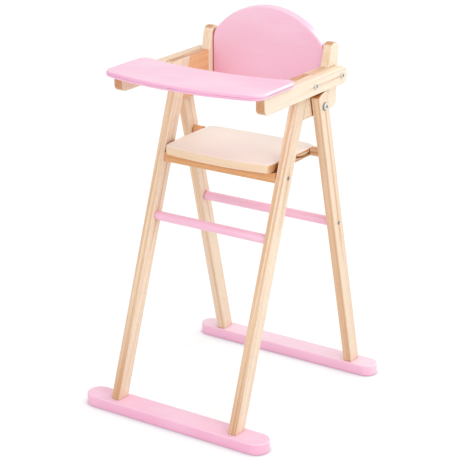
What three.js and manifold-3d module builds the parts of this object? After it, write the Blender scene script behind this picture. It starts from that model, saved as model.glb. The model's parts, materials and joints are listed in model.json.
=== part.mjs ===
// Doll high chair: a folding frame of pale wood with a pink tray, backrest, rungs and feet.
// Millimetres, +Z up. X runs across the chair, -Y is its front, and the floor is at Z = 0.

import * as THREE from "three";
import { mergeVertices } from "three/addons/utils/BufferGeometryUtils.js";
import Module from "manifold-3d";

// Stance
const OVERALL_DEPTH = 315.6; // front of the front foot to the back of the rear foot
const INNER_WIDTH = 174; // between the inner faces of the front legs
const SIDE_STOCK = 13; // thickness of the legs, side panels and posts
const FIT_GAP = 0.3; // at glued, seated and running faces
const EASED_EDGE = 1.4; // rounding of the long wooden edges

// Feet
const FOOT_HEIGHT = 15.7;
const FOOT_EDGE = 1.9;
const FRONT_FOOT_DEPTH = 35;
const FRONT_FOOT_OVERHANG = 42.9; // beyond the outer face of the front leg
const REAR_FOOT_DEPTH = 31.3;
const REAR_FOOT_OVERHANG = 32.7; // beyond the outer face of the rear leg

// Front legs, each widened at its top by a nose that carries the tray arm
const FRONT_LEG_LEAN = THREE.MathUtils.degToRad(19.53);
const FRONT_LEG_WIDTH = 20.3;
const FRONT_LEG_SETBACK = 1.9; // behind the middle of its foot
const LEG_NOSE_LENGTH = 19.4;
const LEG_NOSE_HEIGHT = 18.5;
const LEG_NOSE_RADIUS = 8;
const LEG_NOSE_HEEL_RADIUS = 5;

// Side panels and back posts
const PANEL_SKIRT = 13.9; // below the middle of the pivots
const PANEL_DEPTH = 43.1; // along its upper edge
const POST_DEPTH = 21.9; // at its lower end
const POST_TOP_DEPTH = 17.8;
const POST_RECLINE = 4.6; // by which its rear edge leans back over its height
const POST_RISE = 30.3; // above the tray arms
const POST_TOP_RADIUS = 8.2;
const POST_FLARE_DEPTH = 3.2; // of the sweep in which its front edge leaves the tray arm's top
const POST_FLARE_HEIGHT = 8;
const POST_HEEL_RADIUS = 9;

// Backrest
const BACKREST_THICKNESS = 12;
const BACKREST_INSET = 9.5; // behind the front face of the posts
const BACKREST_RISE = 67.6; // above the tray arms
const BACKREST_CROWN = 46; // height of its round top over its shoulders
const BACKREST_SHOULDER_RADIUS = 24;
const BACKREST_FOOT_RADIUS = 3;
const BACKREST_EDGE = 2.2;

// Tray arms
const ARM_STOCK = 13.5;
const ARM_TOP = 453.6;
const ARM_HEIGHT = 22.5;
const ARM_LENGTH = 203.5;
const ARM_REAR_OVERHANG = 3.6; // behind the lower ends of the posts
const ARM_NOSE_RADIUS = 8.5;
const ARM_TAIL_TOP_RADIUS = 10;
const ARM_TAIL_LOWER_RADIUS = 9;

// Tray, a band bowed towards the front
const TRAY_THICKNESS = 8.2;
const TRAY_DEPTH = 90.8;
const TRAY_OVERHANG = 5; // beyond the outer faces of the arms
const TRAY_REACH = 35.3; // ahead of the front ends of the arms
const TRAY_BOW = 18;
const TRAY_FRONT_RADIUS = 20;
const TRAY_REAR_RADIUS = 12;
const TRAY_EDGE = 3.6;

// Seat and the rail under its front
const SEAT_TOP = 348.1;
const SEAT_THICKNESS = 12;
const SEAT_TAIL = 17.3; // behind the middle of the pegs
const SEAT_SIDE_GAP = 1.6; // to the inner faces of the front legs
const SEAT_TAPER = 3.2; // each side, towards the front
const SEAT_TAPER_SHARE = 0.445; // of the seat's depth
const SEAT_FRONT_BOW = 8;
const SEAT_REAR_BOW = 3.2;
const SEAT_FRONT_RADIUS = 9.5;
const SEAT_REAR_RADIUS = 15;
const SEAT_EDGE = 2.4;
const SEAT_REACH = 24.7; // ahead of the middle of the rail
const RAIL_HEIGHT = 13;
const RAIL_DEPTH = 20;

// Rungs
const RUNG_DIAMETER = 12.6;
const FRONT_RUNG_HEIGHT = 252.1;
const REAR_RUNG_HEIGHT = 239.1;
const RUNG_TENON = 7; // depth of the front rung in each leg
const RUNG_CHAMFER = 0.8;

// Rear legs and their pivots
const REAR_LEG_WIDTH = 21;
const REAR_LEG_ADVANCE = 1.2; // of its bottom, ahead of the middle of its foot
const REAR_LEG_END_RADIUS = 18.6; // of the top end, round about the pivot
const LEG_END_CLEARANCE = 1; // between the turning top end and the arm above it
const PIVOT_SHARE = 0.4373; // of the panel's depth at the pivot's height
const INNER_WASHER_THICKNESS = 0.4;
const INNER_WASHER_DIAMETER = 14;

// Seat pegs, whose pins slide in grooves in the edges of the seat
const PEG_DIAMETER = 12.6;
const PEG_DROP_SHARE = 0.45; // of the seat's thickness, below its top
const PEG_PIN_DIAMETER = 2.4;
const PEG_PIN_SEAT = 6; // depth of the pin in the rear leg
const PEG_PIN_REACH = 5; // depth of the pin in the groove
const GROOVE_FLOOR_GAP = 0.6;

// Fasteners
const ARM_SCREW = { head: 8, dome: 1.5, shank: 4, cover: 4 };
const FLAT_SCREW = { head: 6.4, sink: 1.8, shank: 3.4, bite: 14 };
const SEAT_SCREW_BITE = 8;
const PIVOT_BOLT = { head: 8.6, dome: 1.8, shank: 5, tipGap: 1 };
const PIVOT_WASHER = { diameter: 11.4, thickness: 0.9 };
const INSERT_DIAMETER = 8.4;
const INSERT_COVER = 2.5; // wood between the insert and the panel's inner face
const RECESS_WIDTH = 0.9;
const RECESS_SPAN = 3.8;
const RECESS_DEPTH = 1.2;
const HEX_SOCKET_DIAMETER = 3.4;
const ARM_SCREW_HEIGHT_SHARE = 0.52; // of the arm's height
const FRONT_SCREW_OFFSET = 1.8; // behind the middle line of the front leg
const REAR_SCREW_SHARE = 0.52; // of the post's depth

// Hidden dowels
const FOOT_DOWEL = { diameter: 6, length: 26, sunk: 9 };
const PANEL_DOWEL = { diameter: 6, length: 18 };
const BACKREST_DOWEL = { diameter: 5, length: 18, sunk: 8 };
const TRAY_DOWEL = { diameter: 5, length: 16, sunk: 5 };
const DOWEL_CHAMFER = 0.6;
const PANEL_DOWEL_SHARE = 0.5; // of the panel's height, from its top
const BACKREST_DOWEL_SHARES = [0.14, 0.8]; // of the backrest's straight side
const TRAY_DOWEL_SHARES = [0.26, 0.67]; // of the stretch of arm under the tray
const SEAT_SCREW_SHARE = 0.6; // of the rail's half length

// Fineness of the rounded shapes
const CORNER_STEP = THREE.MathUtils.degToRad(18);
const END_STEP = THREE.MathUtils.degToRad(15);
const BOW_STEP = THREE.MathUtils.degToRad(3.8);
const CROWN_STEP = THREE.MathUtils.degToRad(7);
const EDGE_STEPS = 2;
const DOME_STEPS = 4;
const FLARE_STEPS = 4;
const ROUND_SIDES = 12;
const HIDDEN_SIDES = 10;
const RUNG_SIDES = 20;
const HEX_SIDES = 6;
const HALF_TURN = Math.PI;
const QUARTER_TURN = Math.PI / 2;
const LARGEST_TANGENT_SHARE = 0.49; // of the shorter side at a rounded corner

const PALE_WOOD = new THREE.MeshStandardMaterial({ color: 0xf4dcbc, roughness: 0.5, metalness: 0 });
const DOWEL_WOOD = new THREE.MeshStandardMaterial({ color: 0xdfbf94, roughness: 0.7, metalness: 0 });
const PINK_PAINT = new THREE.MeshStandardMaterial({ color: 0xf4b4d2, roughness: 0.4, metalness: 0 });
const STEEL = new THREE.MeshStandardMaterial({ color: 0xa8a8a6, roughness: 0.3, metalness: 1 });

const RIGHT = 1;
const LEFT = -1;
const SIDES = [
  { side: RIGHT, label: "right" },
  { side: LEFT, label: "left" },
];
const X_AXIS = new THREE.Vector3(1, 0, 0);
const Y_AXIS = new THREE.Vector3(0, 1, 0);
const Z_AXIS = new THREE.Vector3(0, 0, 1);

const wasm = await Module();
wasm.setup();

// Places worked out from the sizes
const frontFaceX = INNER_WIDTH / 2; // inner face of the front legs, panels and posts
const frontOuterX = frontFaceX + SIDE_STOCK;
const armInnerX = frontOuterX + FIT_GAP;
const armOuterX = armInnerX + ARM_STOCK;
const rearInnerX = frontOuterX + INNER_WASHER_THICKNESS + 2 * FIT_GAP;
const rearOuterX = rearInnerX + SIDE_STOCK;

const frontFootY = (FRONT_FOOT_DEPTH - OVERALL_DEPTH) / 2;
const rearFootY = (OVERALL_DEPTH - REAR_FOOT_DEPTH) / 2;
const footTop = FOOT_HEIGHT + FIT_GAP;

const frontLegHalf = FRONT_LEG_WIDTH / 2 / Math.cos(FRONT_LEG_LEAN);
const frontLegY = (z) =>
  frontFootY + FRONT_LEG_SETBACK + (z - FOOT_HEIGHT) * Math.tan(FRONT_LEG_LEAN);
const panelFrontY = (z) => frontLegY(z) + frontLegHalf;

const armBottom = ARM_TOP - ARM_HEIGHT;
const postFrontY = panelFrontY(ARM_TOP) + PANEL_DEPTH;
const postTop = ARM_TOP + POST_RISE;
const armRearY = postFrontY + POST_DEPTH + ARM_REAR_OVERHANG;
const armFrontY = armRearY - ARM_LENGTH;

const pivotZ = armBottom - LEG_END_CLEARANCE - REAR_LEG_END_RADIUS;
const pivotY = THREE.MathUtils.lerp(panelFrontY(pivotZ), postFrontY, PIVOT_SHARE);
const panelBottom = pivotZ - PANEL_SKIRT;
const insertLength = SIDE_STOCK - INSERT_COVER;
const rearLegFootY = rearFootY - REAR_LEG_ADVANCE;
const rearLegLean = Math.atan2(rearLegFootY - pivotY, pivotZ - FOOT_HEIGHT);
const rearLegY = (z) => pivotY + (pivotZ - z) * Math.tan(rearLegLean);
const foldAngle = FRONT_LEG_LEAN + rearLegLean; // turns the rear legs parallel to the front legs

const seatBottom = SEAT_TOP - SEAT_THICKNESS;
const railTop = seatBottom - FIT_GAP;
const railZ = railTop - RAIL_HEIGHT / 2;
const railY = frontLegY(railZ);
const seatFrontY = railY - SEAT_REACH;
const seatHalf = frontFaceX - SEAT_SIDE_GAP;
const pegZ = SEAT_TOP - SEAT_THICKNESS * PEG_DROP_SHARE;
const pegY = rearLegY(pegZ);
const seatRearY = pegY + SEAT_TAIL;
const shoulderZ = ARM_TOP + BACKREST_RISE - BACKREST_CROWN;

// Radius of the circle that bows a straight width by the given height.
function bowRadius(halfWidth, bow) {
  return (halfWidth ** 2 + bow ** 2) / (2 * bow);
}

const trayHalf = armOuterX + TRAY_OVERHANG;
const trayRadius = bowRadius(trayHalf, TRAY_BOW);
const trayRearCentre = armFrontY - TRAY_REACH + TRAY_DEPTH + trayRadius;

// Points along an arc, both ends included.
function arcPoints(centreX, centreY, radius, from, to, step) {
  const count = Math.max(1, Math.ceil(Math.abs(to - from) / step));
  return Array.from({ length: count + 1 }, (_, i) => {
    const angle = THREE.MathUtils.lerp(from, to, i / count);
    return new THREE.Vector2(
      centreX + radius * Math.cos(angle),
      centreY + radius * Math.sin(angle),
    );
  });
}

// A polygon whose corners, given as [x, y, radius], are rounded by arcs.
function roundedOutline(corners) {
  return corners.flatMap(([x, y, radius = 0], i) => {
    const corner = new THREE.Vector2(x, y);
    if (radius === 0) return [corner];
    const [beforeX, beforeY] = corners[(i + corners.length - 1) % corners.length];
    const [afterX, afterY] = corners[(i + 1) % corners.length];
    const before = new THREE.Vector2(beforeX, beforeY).sub(corner);
    const after = new THREE.Vector2(afterX, afterY).sub(corner);
    const room = LARGEST_TANGENT_SHARE * Math.min(before.length(), after.length());
    before.normalize();
    after.normalize();
    const halfAngle = Math.acos(THREE.MathUtils.clamp(before.dot(after), -1, 1)) / 2;
    const tangent = Math.min(radius / Math.tan(halfAngle), room);
    const fitted = tangent * Math.tan(halfAngle);
    const bisector = before.clone().add(after).normalize();
    const centre = corner.clone().addScaledVector(bisector, fitted / Math.sin(halfAngle));
    const start = corner.clone().addScaledVector(before, tangent).sub(centre).angle();
    const turn = (HALF_TURN - 2 * halfAngle) * Math.sign(before.cross(after)) * -1;
    return arcPoints(centre.x, centre.y, fitted, start, start + turn, CORNER_STEP);
  });
}

// A flat board: the outline stands in the board's own XY plane, and its thickness along its Z.
function board(points, thickness, edge) {
  const geometry = new THREE.ExtrudeGeometry(new THREE.Shape(points), {
    depth: thickness - 2 * edge,
    bevelThickness: edge,
    bevelSize: edge,
    bevelOffset: -edge,
    bevelSegments: EDGE_STEPS,
    bevelEnabled: edge > 0,
  });
  return geometry.translate(0, 0, edge);
}

// A turned solid about Z, from points [radius, height] that start and end on the axis.
function turned(points, sides) {
  const profile = points.map(([radius, height]) => new THREE.Vector2(radius, height));
  return new THREE.LatheGeometry(profile, sides).rotateX(QUARTER_TURN);
}

// A round rod about Z with its middle at the origin and chamfered ends.
function rod(diameter, length, chamfer, sides) {
  const r = diameter / 2;
  const h = length / 2;
  return turned(
    [[0, -h], [r - chamfer, -h], [r, chamfer - h], [r, h - chamfer], [r - chamfer, h], [0, h]],
    sides,
  );
}

// A flat ring about Z, from its lower face up.
function ring(diameter, bore, thickness) {
  const disc = rod(diameter, thickness, 0, ROUND_SIDES);
  return withoutTools(disc, [rod(bore, 2 * thickness, 0, ROUND_SIDES)]).translate(
    0,
    0,
    thickness / 2,
  );
}

function toSolid(geometry) {
  const bare = geometry.clone();
  bare.deleteAttribute("normal");
  bare.deleteAttribute("uv");
  const welded = mergeVertices(bare);
  return new wasm.Manifold(
    new wasm.Mesh({
      numProp: 3,
      vertProperties: Float32Array.from(welded.attributes.position.array),
      triVerts: Uint32Array.from(welded.index.array),
    }),
  );
}

function toGeometry(solid) {
  const mesh = solid.getMesh();
  const geometry = new THREE.BufferGeometry();
  geometry.setAttribute(
    "position",
    new THREE.BufferAttribute(Float32Array.from(mesh.vertProperties), 3),
  );
  geometry.setIndex(new THREE.BufferAttribute(Uint32Array.from(mesh.triVerts), 1));
  geometry.computeVertexNormals();
  return geometry;
}

function withoutTools(geometry, tools) {
  const cut = tools.reduce((solid, tool) => solid.subtract(toSolid(tool)), toSolid(geometry));
  return toGeometry(cut);
}

// The turn and place that carry local Z onto a direction, with the origin at a point.
function placement(point, direction) {
  const turn = new THREE.Quaternion().setFromUnitVectors(Z_AXIS, direction.clone().normalize());
  return new THREE.Matrix4().compose(point, turn, new THREE.Vector3(1, 1, 1));
}

// A group in which boards lie in the plane of two directions.
function plane(across, up) {
  const group = new THREE.Group();
  const out = across.clone().cross(up);
  group.quaternion.setFromRotationMatrix(new THREE.Matrix4().makeBasis(across, up, out));
  return group;
}

const chair = new THREE.Group();
const sidePlane = plane(Y_AXIS, Z_AXIS); // thickness along +X
const facePlane = plane(X_AXIS, Z_AXIS); // thickness along -Y
chair.add(sidePlane, facePlane);

function addPiece(parent, name, geometry, material) {
  const mesh = new THREE.Mesh(geometry, material);
  mesh.name = name;
  parent.add(mesh);
  return mesh;
}

// A board of the chair's side, on one side of the middle, with its inner face at innerX.
function addSideBoard(name, points, side, innerX, edge = EASED_EDGE, thickness = SIDE_STOCK) {
  const mesh = addPiece(sidePlane, name, board(points, thickness, edge), PALE_WOOD);
  mesh.position.z = side > 0 ? innerX : -innerX - thickness;
  return mesh;
}

// Cuts tools that are placed in the chair's frame out of a piece.
function bore(mesh, tools) {
  mesh.updateWorldMatrix(true, false);
  const toLocal = mesh.matrixWorld.clone().invert();
  mesh.geometry = withoutTools(
    mesh.geometry,
    tools.map((tool) => tool.clone().applyMatrix4(toLocal)),
  );
}

// Adds a fastener or dowel at its place and cuts its clearance hole in the pieces it holds.
function fit(name, geometry, clearance, material, point, direction, holders) {
  const place = placement(point, direction);
  addPiece(chair, name, geometry, material).applyMatrix4(place);
  for (const holder of holders) bore(holder, [clearance.clone().applyMatrix4(place)]);
}

// A dowel runs along Z, sunk by a given length into the piece below the origin.
function fitDowel(name, size, point, direction, holders) {
  const { diameter, length, sunk = length / 2 } = size;
  const middle = length / 2 - sunk;
  const dowel = rod(diameter, length, DOWEL_CHAMFER, HIDDEN_SIDES).translate(0, 0, middle);
  const hole = rod(diameter + 2 * FIT_GAP, length + 2 * FIT_GAP, 0, HIDDEN_SIDES);
  hole.translate(0, 0, middle);
  fit(name, dowel, hole, DOWEL_WOOD, point, direction, holders);
}

// The cross recess of a screw head, open upwards from a floor at the given height.
function crossRecess(floor, height) {
  const bar = new THREE.BoxGeometry(RECESS_SPAN, RECESS_WIDTH, height);
  bar.translate(0, 0, floor + height / 2);
  const cross = toSolid(bar).add(toSolid(bar.clone().rotateZ(QUARTER_TURN)));
  return toGeometry(cross);
}

// Points of a domed head that rises from its rim to its middle.
function domePoints(radius, base, rise) {
  return Array.from({ length: DOME_STEPS + 1 }, (_, i) => {
    const angle = (QUARTER_TURN * i) / DOME_STEPS;
    return [i === DOME_STEPS ? 0 : radius * Math.cos(angle), base + rise * Math.sin(angle)];
  });
}

// A screw or bolt with a domed head. Its head stands on the face at height zero.
function domedScrew({ head, dome, shank, length, socket }) {
  const points = [
    [0, -length],
    [shank / 2 - DOWEL_CHAMFER, -length],
    [shank / 2, DOWEL_CHAMFER - length],
    [shank / 2, FIT_GAP],
    [head / 2, FIT_GAP],
    ...domePoints(head / 2, dome / 2, dome),
  ];
  return withoutTools(turned(points, ROUND_SIDES), [socket]);
}

// A screw whose flat head lies flush with the face at height zero.
function flatScrew({ head, sink, shank }, length) {
  const points = [
    [0, -length],
    [shank / 2 - DOWEL_CHAMFER, -length],
    [shank / 2, DOWEL_CHAMFER - length],
    [shank / 2, -sink],
    [head / 2, 0],
    [0, 0],
  ];
  return withoutTools(turned(points, ROUND_SIDES), [crossRecess(-RECESS_DEPTH, 2 * RECESS_DEPTH)]);
}

// The hole of a flat-headed screw: its shape grown by the clearance and open at the face.
function flatScrewHole({ head, sink, shank }, length) {
  const mouth = head / 2 + FIT_GAP;
  return turned(
    [
      [0, -length - FIT_GAP],
      [shank / 2 + FIT_GAP, -length - FIT_GAP],
      [shank / 2 + FIT_GAP, -sink - FIT_GAP],
      [mouth, -FIT_GAP],
      [mouth, sink],
      [0, sink],
    ],
    ROUND_SIDES,
  );
}

// Feet: boards with round ends.
function addFoot(name, halfLength, depth, y) {
  const r = depth / 2;
  const points = [
    ...arcPoints(halfLength - r, 0, r, -QUARTER_TURN, QUARTER_TURN, END_STEP),
    ...arcPoints(r - halfLength, 0, r, QUARTER_TURN, QUARTER_TURN + HALF_TURN, END_STEP),
  ];
  const mesh = addPiece(chair, name, board(points, FOOT_HEIGHT, FOOT_EDGE), PINK_PAINT);
  mesh.position.y = y;
  return mesh;
}

function addFrontLeg({ side, label }) {
  const topY = frontLegY(ARM_TOP);
  const noseY = topY - frontLegHalf - LEG_NOSE_LENGTH;
  const noseZ = ARM_TOP - LEG_NOSE_HEIGHT;
  const points = roundedOutline([
    [frontLegY(footTop) - frontLegHalf, footTop],
    [frontLegY(footTop) + frontLegHalf, footTop],
    [topY + frontLegHalf, ARM_TOP],
    [noseY, ARM_TOP, LEG_NOSE_RADIUS],
    [noseY, noseZ, LEG_NOSE_HEEL_RADIUS],
    [frontLegY(noseZ) - frontLegHalf, noseZ, LEG_NOSE_HEEL_RADIUS],
  ]);
  return addSideBoard(`front_leg_${label}`, points, side, frontFaceX);
}

function addSidePanel({ side, label }) {
  const gap = FIT_GAP / Math.cos(FRONT_LEG_LEAN);
  const points = roundedOutline([
    [panelFrontY(panelBottom) + gap, panelBottom],
    [postFrontY - FIT_GAP, panelBottom],
    [postFrontY - FIT_GAP, ARM_TOP],
    [panelFrontY(ARM_TOP) + gap, ARM_TOP],
  ]);
  return addSideBoard(`side_panel_${label}`, points, side, frontFaceX, 0);
}

// The post leans back a little, and its front edge sweeps forward to the tray arm's top.
function addBackPost({ side, label }) {
  const rearTopY = postFrontY + POST_DEPTH + POST_RECLINE;
  const frontTop = new THREE.Vector2(rearTopY - POST_TOP_DEPTH, postTop);
  const flareTop = new THREE.Vector2(postFrontY + POST_FLARE_DEPTH, ARM_TOP + POST_FLARE_HEIGHT);
  const lean = frontTop.clone().sub(flareTop).normalize();
  const middle = flareTop.clone().addScaledVector(lean, -POST_FLARE_HEIGHT / 2);
  const flareFoot = new THREE.Vector2(postFrontY, ARM_TOP);
  const flare = new THREE.QuadraticBezierCurve(flareTop, middle, flareFoot);
  const points = roundedOutline([
    [postFrontY, panelBottom],
    [postFrontY + POST_DEPTH, panelBottom, POST_HEEL_RADIUS],
    [rearTopY, postTop, POST_TOP_RADIUS],
    [frontTop.x, frontTop.y, POST_TOP_RADIUS],
    ...flare.getPoints(FLARE_STEPS).map(({ x, y }) => [x, y]),
  ]);
  return addSideBoard(`back_post_${label}`, points, side, frontFaceX);
}

function addTrayArm({ side, label }) {
  const points = roundedOutline([
    [armFrontY, armBottom, ARM_NOSE_RADIUS],
    [armRearY, armBottom, ARM_TAIL_LOWER_RADIUS],
    [armRearY, ARM_TOP, ARM_TAIL_TOP_RADIUS],
    [armFrontY, ARM_TOP],
  ]);
  return addSideBoard(`tray_arm_${label}`, points, side, armInnerX, EASED_EDGE, ARM_STOCK);
}

// The rear leg stands on its foot and ends above the pivot with a top that is round about it.
function addRearLeg({ side, label }) {
  const half = REAR_LEG_WIDTH / 2;
  const footHalf = half / Math.cos(rearLegLean);
  const middle = QUARTER_TURN + rearLegLean;
  const spread = Math.asin(half / REAR_LEG_END_RADIUS);
  const points = [
    new THREE.Vector2(rearLegY(footTop) - footHalf, footTop),
    new THREE.Vector2(rearLegY(footTop) + footHalf, footTop),
    ...arcPoints(pivotY, pivotZ, REAR_LEG_END_RADIUS, middle - spread, middle + spread, END_STEP),
  ];
  return addSideBoard(`rear_leg_${label}`, points, side, rearInnerX);
}

// The backrest stands between the posts, with straight sides, soft shoulders and a round top.
function addBackrest() {
  const half = frontFaceX - FIT_GAP;
  const radius = bowRadius(half, BACKREST_CROWN);
  const centreZ = shoulderZ + BACKREST_CROWN - radius;
  const shoulder = bowedCorner(radius, BACKREST_SHOULDER_RADIUS, half, 1);
  const { x, angle } = shoulder;
  const z = centreZ + shoulder.y;
  const points = [
    ...roundedOutline([
      [-half, shoulderZ],
      [-half, panelBottom, BACKREST_FOOT_RADIUS],
      [half, panelBottom, BACKREST_FOOT_RADIUS],
      [half, shoulderZ],
    ]).slice(1, -1),
    ...arcPoints(x, z, BACKREST_SHOULDER_RADIUS, 0, angle, CORNER_STEP),
    ...arcPoints(0, centreZ, radius, angle, HALF_TURN - angle, CROWN_STEP).slice(1, -1),
    ...arcPoints(-x, z, BACKREST_SHOULDER_RADIUS, HALF_TURN - angle, HALF_TURN, CORNER_STEP),
  ];
  const geometry = board(points, BACKREST_THICKNESS, BACKREST_EDGE);
  const mesh = addPiece(facePlane, "backrest", geometry, PINK_PAINT);
  mesh.position.z = -(postFrontY + BACKREST_INSET + BACKREST_THICKNESS);
  return mesh;
}

// The right half of a bowed edge with its corner: the corner's middle and the bow's end angle.
function bowedCorner(radius, cornerRadius, half, bulge) {
  const x = half - cornerRadius;
  const reach = radius - bulge * cornerRadius;
  const y = Math.sqrt(reach ** 2 - x ** 2);
  return { x, y, angle: Math.atan2(y, x) };
}

// The tray is a band of even depth between two like bows, with round corners.
function addTray() {
  const half = trayHalf;
  const radius = trayRadius;
  const frontCentre = trayRearCentre - TRAY_DEPTH;
  const rearCentre = trayRearCentre;
  const front = bowedCorner(radius, TRAY_FRONT_RADIUS, half, 1);
  const rear = bowedCorner(radius, TRAY_REAR_RADIUS, half, -1);
  const frontCornerY = frontCentre - front.y;
  const rearCornerY = rearCentre - rear.y;
  const { angle: f } = front;
  const { angle: b } = rear;
  const points = [
    ...arcPoints(0, frontCentre, radius, f - HALF_TURN, -f, BOW_STEP),
    ...arcPoints(front.x, frontCornerY, TRAY_FRONT_RADIUS, -f, 0, CORNER_STEP).slice(1),
    ...arcPoints(rear.x, rearCornerY, TRAY_REAR_RADIUS, 0, HALF_TURN - b, CORNER_STEP),
    ...arcPoints(0, rearCentre, radius, -b, b - HALF_TURN, BOW_STEP).slice(1),
    ...arcPoints(-rear.x, rearCornerY, TRAY_REAR_RADIUS, b, HALF_TURN, CORNER_STEP).slice(1),
    ...arcPoints(
      -front.x, frontCornerY, TRAY_FRONT_RADIUS, HALF_TURN, HALF_TURN + f, CORNER_STEP,
    ).slice(0, -1),
  ];
  const mesh = addPiece(chair, "tray", board(points, TRAY_THICKNESS, TRAY_EDGE), PINK_PAINT);
  mesh.position.z = ARM_TOP + FIT_GAP;
  return mesh;
}

// The seat bows out at the front and the back, and narrows towards the front.
function addSeat() {
  const frontHalf = seatHalf - SEAT_TAPER;
  const frontRadius = bowRadius(frontHalf, SEAT_FRONT_BOW);
  const rearRadius = bowRadius(seatHalf, SEAT_REAR_BOW);
  const frontCentre = seatFrontY + frontRadius;
  const rearCentre = seatRearY - rearRadius;
  const front = bowedCorner(frontRadius, SEAT_FRONT_RADIUS, frontHalf, 1);
  const rear = bowedCorner(rearRadius, SEAT_REAR_RADIUS, seatHalf, 1);
  const { angle: f } = front;
  const { angle: b } = rear;
  const rightCorner = arcPoints(
    front.x, frontCentre - front.y, SEAT_FRONT_RADIUS, -f, 0, CORNER_STEP,
  ).slice(1);
  const rightHeel = arcPoints(
    rear.x, rearCentre + rear.y, SEAT_REAR_RADIUS, 0, b, CORNER_STEP,
  );
  const rightSide = [
    ...rightCorner,
    new THREE.Vector2(seatHalf, THREE.MathUtils.lerp(seatFrontY, seatRearY, SEAT_TAPER_SHARE)),
    ...rightHeel,
  ];
  const leftSide = rightSide.map(({ x, y }) => new THREE.Vector2(-x, y)).reverse();
  const points = [
    ...arcPoints(0, frontCentre, frontRadius, f - HALF_TURN, -f, BOW_STEP),
    ...rightSide,
    ...arcPoints(0, rearCentre, rearRadius, b, HALF_TURN - b, BOW_STEP).slice(1, -1),
    ...leftSide,
  ];
  const mesh = addPiece(chair, "seat", board(points, SEAT_THICKNESS, SEAT_EDGE), PALE_WOOD);
  mesh.position.z = seatBottom;
  return mesh;
}

function addSeatRail() {
  const half = RAIL_HEIGHT / 2;
  const points = roundedOutline([
    [railY - RAIL_DEPTH / 2, railZ - half, EASED_EDGE],
    [railY + RAIL_DEPTH / 2, railZ - half, EASED_EDGE],
    [railY + RAIL_DEPTH / 2, railZ + half, EASED_EDGE],
    [railY - RAIL_DEPTH / 2, railZ + half, EASED_EDGE],
  ]);
  const length = 2 * (frontFaceX - FIT_GAP);
  const mesh = addPiece(sidePlane, "seat_rail", board(points, length, 0), PALE_WOOD);
  mesh.position.z = -length / 2;
  return mesh;
}

// A rung runs across the chair between x = -half and x = half.
function addRung(name, half, y, z) {
  const geometry = rod(RUNG_DIAMETER, 2 * half, RUNG_CHAMFER, RUNG_SIDES);
  const mesh = addPiece(chair, name, geometry, PINK_PAINT);
  mesh.applyMatrix4(placement(new THREE.Vector3(0, y, z), X_AXIS));
  return mesh;
}

// The groove that the peg's pin follows in the seat's edge as the rear frame folds.
function grooveTool(side) {
  const radius = Math.hypot(pegY - pivotY, pegZ - pivotZ);
  const start = Math.atan2(pegZ - pivotZ, pegY - pivotY);
  const half = PEG_PIN_DIAMETER / 2 + FIT_GAP;
  const end = start - foldAngle;
  const startY = pivotY + radius * Math.cos(start);
  const startZ = pivotZ + radius * Math.sin(start);
  const endY = pivotY + radius * Math.cos(end);
  const endZ = pivotZ + radius * Math.sin(end);
  const points = [
    ...arcPoints(pivotY, pivotZ, radius + half, end, start, CROWN_STEP),
    ...arcPoints(startY, startZ, half, start, start + HALF_TURN, CORNER_STEP).slice(1, -1),
    ...arcPoints(pivotY, pivotZ, radius - half, start, end, CROWN_STEP),
    ...arcPoints(endY, endZ, half, end + HALF_TURN, end + 2 * HALF_TURN, CORNER_STEP).slice(1, -1),
  ];
  const depth = PEG_PIN_REACH + GROOVE_FLOOR_GAP;
  const geometry = board(points, depth + SIDE_STOCK, 0);
  const fromX = side > 0 ? seatHalf - depth : -seatHalf - SIDE_STOCK;
  return geometry.translate(0, 0, fromX).applyMatrix4(sidePlane.matrix);
}

// Pegs between the seat's edges and the rear legs, each with a steel pin through it.
function addPeg({ side, label }, rearLeg, seat) {
  const innerX = seatHalf + FIT_GAP;
  const outerX = rearInnerX - FIT_GAP;
  const out = X_AXIS.clone().multiplyScalar(side);
  const pegMiddle = new THREE.Vector3((side * (innerX + outerX)) / 2, pegY, pegZ);
  const peg = addPiece(
    chair,
    `seat_peg_${label}`,
    rod(PEG_DIAMETER, outerX - innerX, RUNG_CHAMFER, RUNG_SIDES),
    PALE_WOOD,
  );
  peg.applyMatrix4(placement(pegMiddle, out));
  const pinStart = seatHalf - PEG_PIN_REACH;
  const pinEnd = rearInnerX + PEG_PIN_SEAT;
  const pinLength = pinEnd - pinStart;
  const pin = rod(PEG_PIN_DIAMETER, pinLength, DOWEL_CHAMFER, HIDDEN_SIDES);
  const hole = rod(PEG_PIN_DIAMETER + 2 * FIT_GAP, pinLength + 2 * FIT_GAP, 0, HIDDEN_SIDES);
  const pinMiddle = new THREE.Vector3((side * (pinStart + pinEnd)) / 2, pegY, pegZ);
  fit(`peg_pin_${label}`, pin, hole, STEEL, pinMiddle, out, [peg, rearLeg]);
  bore(seat, [grooveTool(side)]);
}

// Domed screws that hold a tray arm to the front leg and to the back post.
function addArmScrews({ side, label }, arm, frontLeg, post) {
  const z = armBottom + ARM_HEIGHT * ARM_SCREW_HEIGHT_SHARE;
  const { head, dome, shank, cover } = ARM_SCREW;
  const length = ARM_STOCK + FIT_GAP + SIDE_STOCK - cover;
  const top = dome + dome / 2;
  const socket = crossRecess(top - RECESS_DEPTH, 2 * RECESS_DEPTH);
  const hole = rod(shank + 2 * FIT_GAP, 2 * (length + FIT_GAP), 0, ROUND_SIDES);
  const places = [
    { name: "front", y: frontLegY(z) + FRONT_SCREW_OFFSET, holder: frontLeg },
    { name: "rear", y: postFrontY + POST_DEPTH * REAR_SCREW_SHARE, holder: post },
  ];
  for (const { name, y, holder } of places) {
    fit(
      `arm_screw_${name}_${label}`,
      domedScrew({ head, dome, shank, length, socket }),
      hole,
      STEEL,
      new THREE.Vector3(side * armOuterX, y, z),
      X_AXIS.clone().multiplyScalar(side),
      [arm, holder],
    );
  }
}

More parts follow.
